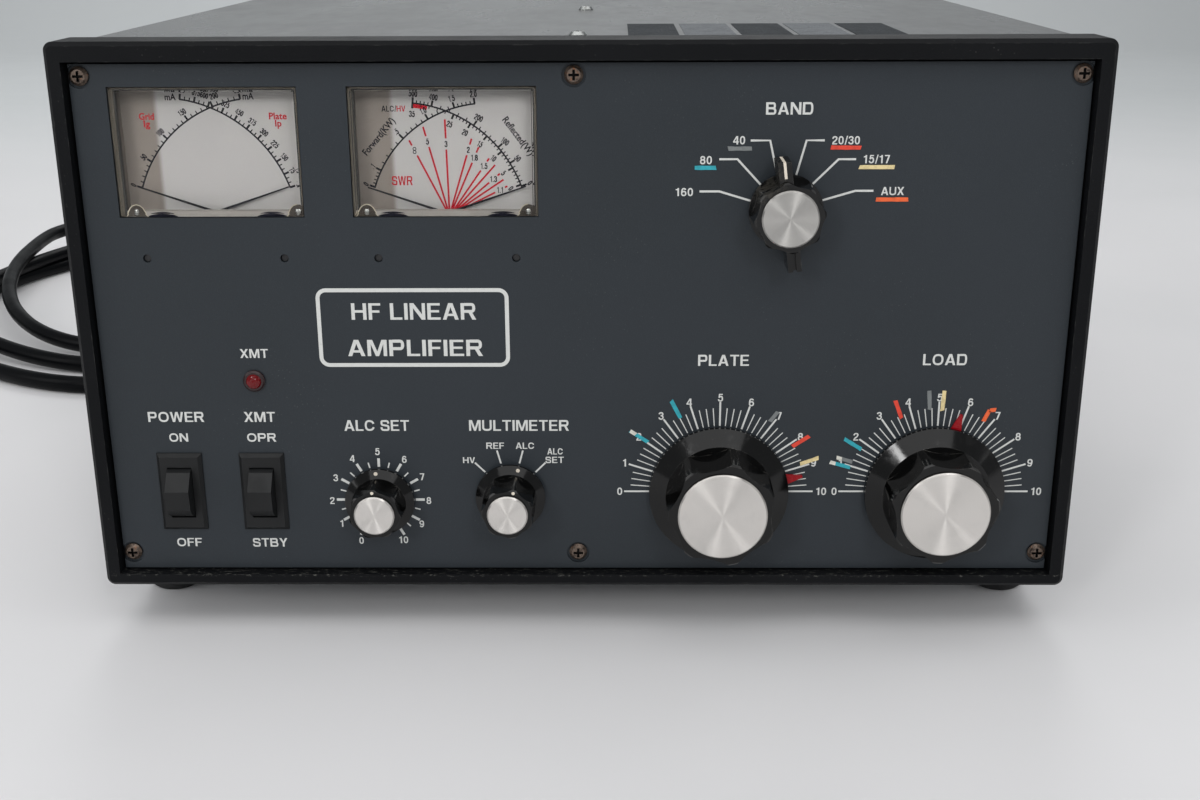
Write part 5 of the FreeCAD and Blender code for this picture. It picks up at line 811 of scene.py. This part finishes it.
def stick_tapes():
    """Strips of coloured tape that mark settings, with their owner's ragged cuts."""
    strips = (
        ("teal", (39.1, 155.0), (46.4, 155.0)), ("grey", (50.3, 161.5), (58.4, 161.5)),
        ("red", (85.1, 161.8), (95.3, 161.7)), ("cream", (95.0, 155.1), (107.0, 155.1)),
        ("orange", (101.3, 144.0), (112.3, 144.0)),
        ("teal", (17.4, 59.9), (23.8, 55.6)), ("teal", (32.1, 71.4), (35.5, 64.8)),
        ("grey", (67.7, 63.5), (70.4, 67.2)), ("red", (76.1, 53.9), (82.1, 57.9)),
        ("cream", (79.2, 47.1), (85.8, 49.5)),
        ("teal", (90.0, 47.9), (97.4, 45.7)), ("grey", (92.3, 49.7), (98.1, 47.9)),
        ("teal", (94.8, 56.8), (101.1, 52.8)), ("red", (112.3, 71.4), (114.9, 64.7)),
        ("grey", (124.2, 75.1), (124.8, 67.9)), ("cream", (129.6, 75.1), (129.3, 67.6)),
        ("orange", (144.3, 63.5), (146.2, 67.7)), ("orange", (146.2, 67.7), (148.5, 67.9)),
        ("white", (17.4, 59.9), (19.4, 58.6)), ("white", (90.0, 47.9), (92.0, 47.3)),
        ("white", (92.3, 49.7), (94.2, 49.1)),
    )
    sheets = {}
    for colour, a, b in strips:
        lift = 0.12 if colour == "white" else 0.0
        p = sheets.setdefault(colour, Print(PANEL_Y - lift, TAPE_THICKNESS))
        length = hypot(b[0] - a[0], b[1] - a[1])
        along = ((b[0] - a[0]) / length, (b[1] - a[1]) / length)
        edges = ([], [])
        for i in range(TAPE_STEPS + 1):
            x, z = between(a, b, i / TAPE_STEPS)
            half = TAPE_WIDTH / 2 * (1 + TAPE_WAVER * DICE.uniform(-1, 1))
            slant = TAPE_SLANT * DICE.uniform(-1, 1) if i in (0, TAPE_STEPS) else 0.0
            for side, edge in zip((1, -1), edges):
                edge.append((x + side * along[1] * half + side * along[0] * slant,
                             z - side * along[0] * half + side * along[1] * slant))
        p.shape(edges[0] + edges[1][::-1])
    for colour, p in sheets.items():
        p.piece(f"marker_tape_{colour}", TAPES[colour], "marker_tape")


# ---- meters ----


GRID_ARC = (-110.0, 132.4)
PLATE_ARC = (-144.1, 133.1)
FORWARD_ARC = (-31.5, 133.5)
REFLECTED_ARC = (-61.6, 132.65)
GRID_RADIUS = 45.5
PLATE_RADIUS = 44.9
FORWARD_RADIUS = 42.4
REFLECTED_RADIUS = 43.5
ARC_WIDTH = 0.55
FAN_FOOT = (-46.6, 137.6)
FAN_WIDTH = 0.62
DIAL_INK = 0.03
TRIM_MIDDLES = (-125.75, -45.85)
BOSS_OUT = 27.9
BOSS_HEIGHT = 142.4
RIVET_Z = 140.0
RIVET_RADIUS = 0.9


def scale_ticks(p, centre, radius, start, end, count, every, long=1.9, short=1.2):
    """Evenly spaced ticks along an arc, every so many of them long; a length below 0 points inwards."""
    for i in range(count + 1):
        reach, width = (short, 0.38) if i % every else (long, 0.70)
        p.tick(centre, radius, radius + reach, start + (end - start) * i / count, width)


def scale_numbers(p, centre, radius, numbers, height, lean):
    for text, turn in numbers:
        x, z = polar(centre, radius, turn)
        p.words(text, x, z, height, turn=-turn * lean, squeeze=0.72, stem=21)


def print_left_dial():
    p = Print(DIAL_Y, DIAL_INK)
    p.arc(GRID_ARC, GRID_RADIUS, -71.3, -8.1, ARC_WIDTH)
    p.arc(PLATE_ARC, PLATE_RADIUS, 71.9, 8.6, ARC_WIDTH)
    scale_ticks(p, GRID_ARC, GRID_RADIUS, -71.3, -8.1, 25, 5)
    scale_ticks(p, PLATE_ARC, PLATE_RADIUS, 71.9, 8.8, 30, 3)
    grid = [(str(50 * i), -71.3 + 12.62 * i + (2.4 if i == 4 else 0.0)) for i in range(6)]
    plate = [(str(75 * i), 71.9 - 6.29 * i - (2.9 if i == 8 else 0.0)) for i in range(11)]
    scale_numbers(p, GRID_ARC, 48.7, grid, 2.05, 0.85)
    scale_numbers(p, PLATE_ARC, 48.2, plate, 1.95, 0.85)
    p.words("mA", -140.4, 178.3, 2.2, 3.8)
    p.words("mA", -113.6, 178.5, 2.2, 3.8)
    p.piece("left_dial_scales", INK_DARK, "dial_black")
    r = Print(DIAL_Y, DIAL_INK)
    for text, x, z, width in (("Grid", -149.2, 171.7, 5.2), ("Ig", -149.3, 168.8, 2.2),
                              ("Plate", -103.9, 171.7, 6.1), ("Ip", -103.9, 168.9, 2.2)):
        r.words(text, x, z, 2.2, width)
    r.piece("left_dial_names", INK_RED, "dial_red")


def print_right_dial():
    p = Print(DIAL_Y, DIAL_INK)
    p.arc(FORWARD_ARC, FORWARD_RADIUS, -71.6, -5.9, ARC_WIDTH)
    p.arc(REFLECTED_ARC, REFLECTED_RADIUS, 71.0, 5.6, ARC_WIDTH)
    forward = (("0", -71.3), (".1", -62.8), (".5", -44.2), ("1.0", -29.3), ("1.5", -15.8), ("2.0", -6.2))
    reflected = (("0", 70.3), ("50", 58.6), ("100", 49.7), ("200", 35.0), ("400", 14.2), ("500", 5.6))
    inner = (("0", 69.6), ("5", 61.1), ("10", 52.2), ("15", 42.6), ("20", 33.4), ("25", 24.8), ("35", 5.6))
    scales = ((forward, FORWARD_ARC, FORWARD_RADIUS, 2.0, 1.1, 45.7),
              (reflected, REFLECTED_ARC, REFLECTED_RADIUS, 2.0, 1.1, 46.7),
              (inner, REFLECTED_ARC, REFLECTED_RADIUS, -1.8, -1.0, 39.8))
    for marks, centre, radius, long, short, _ in scales:
        for (_, low), (_, high) in zip(marks, marks[1:]):
            scale_ticks(p, centre, radius, low, high, 5, 5, long, short)
    for marks, centre, _, _, _, numbers_at in scales:
        scale_numbers(p, centre, numbers_at, marks, 2.1, 0.75)
    p.words("Forward(KW)", -69.3, 164.4, 2.3, 15.8, 48.5)
    p.words("Reflected(W)", -21.6, 164.4, 2.3, 15.4, -53.5)
    p.words("ALC/", -65.6, 174.1, 2.0, 5.0)
    p.piece("right_dial_scales", INK_DARK, "dial_black")
    r = Print(DIAL_Y, DIAL_INK)
    r.words("HV", -61.4, 174.1, 2.0, 3.0)
    r.words("SWR", -62.1, 149.3, 3.2, 7.2)
    r.arc(REFLECTED_ARC, 42.6, 5.8, 12.4, 1.35, 6)
    tops = ((-59.1, 163.3), (-54.1, 167.9), (-46.5, 170.4), (-37.5, 163.8), (-35.1, 160.9), (-31.6, 157.0),
            (-29.6, 154.7), (-28.0, 151.7), (-26.8, 149.6), (-25.5, 147.3))
    numbers = (("∞", 0.86), ("5", 0.83), ("3", 0.74), ("2", 0.85), ("1.8", 0.84), ("1.5", 0.86),
               ("", 0.9), ("1.3", 0.86), ("", 0.9), ("1.1", 0.86))
    dark = Print(DIAL_Y, DIAL_INK)
    for index, (top, (text, share)) in enumerate(zip(tops, numbers)):
        foot = (FAN_FOOT[0] + index * 0.28, FAN_FOOT[1] + 0.4)
        at = between(foot, top, share)
        if not text:
            r.line(foot, top, FAN_WIDTH)
            continue
        gap = 1.9 / hypot(top[0] - foot[0], top[1] - foot[1])
        for low, high in ((0.0, share - gap), (min(0.96, share + gap), 1.0)):
            r.line(between(foot, top, low), between(foot, top, high), FAN_WIDTH)
        if text == "∞":
            for side in (-0.55, 0.55):
                dark.arc((at[0], at[1] + side), 0.52, 0, 360, 0.26, 14)
        else:
            dark.words(text, *at, 2.1, squeeze=0.8, stem=20)
    r.piece("right_dial_fan", INK_RED, "dial_red")
    dark.piece("right_dial_ratios", INK_DARK, "dial_black")


def meter_trim():
    """Behind each window: the foot of the card, the moulded bosses with their rivets, and dark slots."""
    bosses = Print(PANE_BACK, 0.04)
    rims = Print(PANE_BACK - 0.05, 0.04)
    slots = Print(PANE_BACK, 0.04)
    rivets = []
    for index, middle in enumerate(TRIM_MIDDLES):
        low, high = middle - 31.2, middle + 29.6
        plates = (((low, PANE_BACK + 0.01, 138.2), (high, PANE_BACK + 0.05, 140.2)),
                  ((low, PANE_BACK + 0.01, 140.12), (high, PANE_BACK + 2.3, 140.22)))
        add_boxes(f"card_foot_{index + 1}", plates, CARD_FOOT)
        for side in (-1, 1):
            x = middle + side * BOSS_OUT
            rise = [(x + way, up) for way, up in ((-3.9, 138.3), (-3.3, 139.2), (-2.2, 141.2), (-1.3, 142.0))]
            fall = [(2 * x - across, up) for across, up in reversed(rise)]
            arch = [(min(across, high + 0.6), up) for across, up in (*rise, (x, BOSS_HEIGHT), *fall)]
            bosses.shape(arch)
            rims.ribbon(arch if side < 0 else arch[:5], 0.30, False)
            rivets.append((x, RIVET_Z))
            for inner, outer, foot, swell in ((13.9, 24.2, 138.75, 1.1), (11.0, 24.0, 138.28, 0.14)):
                start, end = middle + side * inner, middle + side * outer
                crown = []
                for i in range(9):
                    share = i / 8
                    lift = swell * sin(pi * share) ** 0.6
                    crown.append((start + (end - start) * share, foot + lift))
                slots.shape(crown + [(end, foot - 0.25), (start, foot - 0.25)])
    bosses.piece("meter_bosses", BOSS_BROWN, "acrylic")
    rims.piece("meter_boss_rims", CLEAR_RIM, "acrylic")
    slots.piece("dial_slots", INK_DARK, "dial_black")
    heads = bmesh.new()
    for x, z in rivets:
        made = bmesh.ops.create_uvsphere(heads, u_segments=20, v_segments=10, radius=RIVET_RADIUS * MM)
        bmesh.ops.scale(heads, verts=made["verts"], vec=(1.0, 0.4, 1.0))
        bmesh.ops.translate(heads, verts=made["verts"], vec=spot(x, PANE_BACK - 0.1, z))
    add_built("meter_rivets", heads, FINISHES["cover_screw_steel"], smooth=True)


# ---- knobs ----


def knob_marks():
    """White index dots on the small knobs, and the cream line on the band knob's bar."""
    for name, centre, turn, reach in (("alc", ALC, ALC_REST, 12.0),
                                      ("multimeter", MULTIMETER, MULTIMETER_REST, 15.5)):
        dots = Print(0.0)
        for radius, depth, size in ((11.6, 0.15, 0.72), (8.45, 1.2 - reach, 0.60)):
            dots.y = depth
            dots.shape([polar(polar(centre, radius, turn), size, 360 - 24 * i) for i in range(15)])
        dots.piece(f"{name}_knob_dots", INK_CREAM, "legend_white", f"{name}_control")
    lean = radians(BAND_REST)
    bar = bmesh.new()
    profile = ((13.2, -10.06), (18.71, -10.06), (18.71, 2.2), (18.65, 2.2), (18.65, -10.0), (13.2, -10.0))
    sides = []
    for across in (-0.46, 0.46):
        ring = []
        for along, depth in profile:
            x = BAND[0] + across * cos(lean) + along * sin(lean)
            z = BAND[1] - across * sin(lean) + along * cos(lean)
            ring.append(bar.verts.new(spot(x, depth, z)))
        sides.append(ring)
    bar.faces.new(sides[0])
    bar.faces.new(reversed(sides[1]))
    for i in range(len(profile)):
        j = (i + 1) % len(profile)
        bar.faces.new((sides[0][j], sides[0][i], sides[1][i], sides[1][j]))
    bmesh.ops.recalc_face_normals(bar, faces=bar.faces)
    add_built("band_knob_line", bar, INK_CREAM, "band_control")


# ---- cover ----


def add_boxes(name, boxes, finish):
    """Closed boxes, each from its lowest to its highest corner, as one piece."""
    built = bmesh.new()
    for low, high in boxes:
        made = bmesh.ops.create_cube(built, size=1.0)
        size = [(b - a) * MM for a, b in zip(low, high)]
        bmesh.ops.scale(built, verts=made["verts"], vec=size)
        bmesh.ops.translate(built, verts=made["verts"], vec=(spot(*low) + spot(*high)) / 2)
    add_built(name, built, finish)


VENT_COUNT = 5
VENT_LEFT = 16.7
VENT_PITCH = 20.3
VENT_WIDTH = 18.2
VENT_FRONT = 40.0
VENT_REAR = 97.0
MESH_THICKNESS = 0.15


def vent_patches():
    """Fine mesh laid over each of the cover's vent fields; every second one is paler."""
    for index in range(VENT_COUNT):
        left = VENT_LEFT + VENT_PITCH * index
        box = ((left, VENT_FRONT, COVER_Z), (left + VENT_WIDTH, VENT_REAR, COVER_Z + MESH_THICKNESS))
        add_boxes(f"vent_mesh_{index + 1}", [box], VENT_PALE if index % 2 else VENT_DARK)


def meter_liners():
    """The clear walls of each meter's front cover, seen edge on between its pane and its dial."""
    near, far = 6.6, DIAL_Y - 0.1
    inside, outside = 0.6, 1.9
    base, top = 140.1, 180.6
    for side, middle in (("left", -127.2), ("right", -46.4)):
        low, high = middle - 30.0, middle + 30.0
        boxes = [
            ((low - outside, near, base - outside), (low - inside, far, top + outside)),
            ((high + inside, near, base - outside), (high + outside, far, top + outside)),
            ((low - inside, near, top + inside), (high + inside, far, top + outside)),
        ]
        add_boxes(f"{side}_meter_liner", boxes, CLEAR_EDGE)


# ---- cord ----


# The cord's places are in millimetres along the frame's own axes.
CORD_RADIUS = 4.75 * MM
EXIT = Vector((-0.150, 0.22525, 0.048))
LEAD = ((-150.3, 249.25, 47.5), (-152.5, 277.25, 40.0), (-157.0, 306.25, 27.0), (-165.0, 337.25, 13.5),
        (-178.0, 366.25, 7.25), (-198.0, 392.25, 5.15), (-225.0, 413.25, 4.85), (-256.0, 429.25, 4.95))
TAIL = ((-243.4, 246.0, 6.05), (-247.0, 265.0, 9.25), (-254.5, 283.0, 11.85), (-263.5, 301.0, 12.5))
# The far, left, near and right of each turn of the coil.
TURNS = (
    (-330, 451.25, 4.85), (-436, 247.25, 5.5), (-282, 89.25, 4.85), (-213, 247.25, 5.5),
    (-336, 457.25, 15.5), (-430, 262.25, 12.5), (-290, 127.25, 4.85), (-227, 262.25, 8.5),
    (-340, 467.25, 28.0), (-422, 397.25, 24.0), (-292, 160.25, 4.85), (-243, 232.25, 4.85),
)
SHARPNESS = (1, 1.25, 1, 1, 1, 1.25, 1, 1, 1, 1, 1)


def coil_points():
    """Points of the loose coil: quarter turns between the places above, each a little different."""
    per_quarter = 4
    points = []
    for k, (a, b, power) in enumerate(zip(TURNS, TURNS[1:], SHARPNESS)):
        for i in range(per_quarter):
            share = i / per_quarter
            s = sin(share * pi / 2) ** power
            c = cos(share * pi / 2) ** power
            if k % 2 == 0:
                x = a[0] + (b[0] - a[0]) * s
                y = b[1] + (a[1] - b[1]) * c
            else:
                x = b[0] + (a[0] - b[0]) * c
                y = a[1] + (b[1] - a[1]) * s
            rise = share * share * (3 - 2 * share)
            points.append((x, y, a[2] + (b[2] - a[2]) * rise))
    points.append(TURNS[-1])
    return points


def make_cord():
    """The mains lead on one smooth curve: out of the relief, down, round its coil and into the plug."""
    curve = bpy.data.curves.new("mains_cord", "CURVE")
    curve.dimensions = "3D"
    curve.bevel_depth = CORD_RADIUS
    curve.bevel_resolution = 5
    curve.resolution_u = 10
    curve.use_fill_caps = True
    spline = curve.splines.new("NURBS")
    route = [tuple(c / MM for c in EXIT)] + list(LEAD) + coil_points() + list(TAIL)
    spline.points.add(len(route) - 1)
    for point, place in zip(spline.points, route):
        point.co = (*(c * MM for c in place), 1.0)
    spline.order_u = 3
    spline.use_endpoint_u = True
    item = new_object("mains_cord", curve)
    curve.materials.append(FINISHES["cord_black"].material)
    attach(item, "chassis")
    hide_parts("cord_lead", "cord_coil")


# ---- camera, floor and light ----


CAMERA_PLACE = (12.508, -490.422, 236.952)
CAMERA_TURNS = (-0.0121, 0.3226, -0.0044)
LENS = 43.58


def make_camera():
    """The view from a little above the front; its turns are yaw, pitch and roll in radians."""
    yaw, pitch, roll = CAMERA_TURNS
    ahead = Vector((sin(yaw) * cos(pitch), cos(yaw) * cos(pitch), -sin(pitch)))
    level = Vector((cos(yaw), -sin(yaw), 0.0))
    lifted = level.cross(ahead)
    right = cos(roll) * level + sin(roll) * lifted
    up = cos(roll) * lifted - sin(roll) * level
    data = bpy.data.cameras.new("camera")
    data.lens = LENS
    data.sensor_width = 36.0
    data.clip_start = 0.01
    item = new_object("camera", data)
    turn = Matrix((right, up, -ahead)).transposed()
    item.matrix_world = Matrix.Translation(spot(*CAMERA_PLACE)) @ turn.to_4x4()
    bpy.context.scene.camera = item


def stage_finish():
    f = Finish("table", rgb(221, 220, 221), 0.55)
    f.blotch(3, 4.0, 0.4, 0.7, 0.5, rgb(214, 214, 215))
    # Painted falloff of light: the floor grows darker away from the front.
    f.tint(f.along("Y", 0.3, 1.6), rgb(186, 189, 190))
    f.patchy(8, 3.0, 0.48)
    return f.bump(f.noise(300, 2.0), 0.03, 0.0002)


def make_stage():
    """A pale floor that curves up into a backdrop."""
    near_end, flat_end, radius, top, half_width = -3.0, 2.2, 1.2, 4.5, 5.0
    steps = 16
    profile = [(near_end, 0.0), (flat_end, 0.0)]
    for i in range(1, steps + 1):
        angle = radians(90 * i / steps)
        profile.append((flat_end + radius * sin(angle), radius * (1 - cos(angle))))
    profile.append((flat_end + radius, top))
    points = [(x, y, z) for x in (-half_width, half_width) for y, z in profile]
    count = len(profile)
    faces = [(i, i + count, i + count + 1, i + 1) for i in range(count - 1)]
    mesh = bpy.data.meshes.new("stage")
    mesh.from_pydata(points, [], faces)
    mesh.shade_smooth()
    mesh.materials.append(stage_finish().material)
    item = new_object("stage", mesh)


# Each lamp's name, place, target, size and power, in metres and watts.
LAMPS = (
    ("ceiling", (0.0, -0.45, 2.3), (0.0, -0.1, 0.0), (3.4, 2.6), 24),
    ("front", (0.0, -1.9, 2.1), (0.0, -0.2, 0.0), (2.8, 1.6), 17),
    ("lamp_left", (-1.05, -2.1, 1.0), (0.0, -0.2, 0.1), (0.30, 0.45), 9),
    ("lamp_right", (0.75, -2.2, 1.3), (0.0, -0.2, 0.1), (0.30, 0.45), 8),
    ("window_left", (-1.9, -0.7, 1.1), (0.0, -0.1, 0.1), (0.9, 1.3), 7),
    ("window_right", (1.9, -0.7, 1.1), (0.0, -0.1, 0.1), (0.9, 1.3), 3.5),
    ("rear", (0.0, 2.2, 2.2), (0.0, 0.3, 0.2), (2.0, 1.2), 22),
    ("backdrop", (-0.7, 1.2, 1.6), (-0.7, 3.0, 0.6), (2.0, 0.8), 16),
)


def make_light():
    world = bpy.data.worlds.new("room")
    world.use_nodes = True
    background = world.node_tree.nodes["Background"]
    background.inputs["Color"].default_value = rgb(232, 235, 238)
    background.inputs["Strength"].default_value = 0.38
    bpy.context.scene.world = world
    for name, place, target, size, power in LAMPS:
        data = bpy.data.lights.new(name, "AREA")
        data.shape = "RECTANGLE"
        data.size, data.size_y = size
        data.energy = power
        item = new_object(name, data)
        item.location = place
        item.rotation_euler = (Vector(target) - Vector(place)).to_track_quat("-Z", "Y").to_euler()


make_camera()
make_stage()
make_light()
dress_nodes()
make_cord()
print_panel()
print_name_box()
stick_tapes()
print_left_dial()
print_right_dial()
meter_trim()
meter_liners()
knob_marks()
vent_patches()

scene = bpy.context.scene
scene.view_settings.view_transform = "Standard"
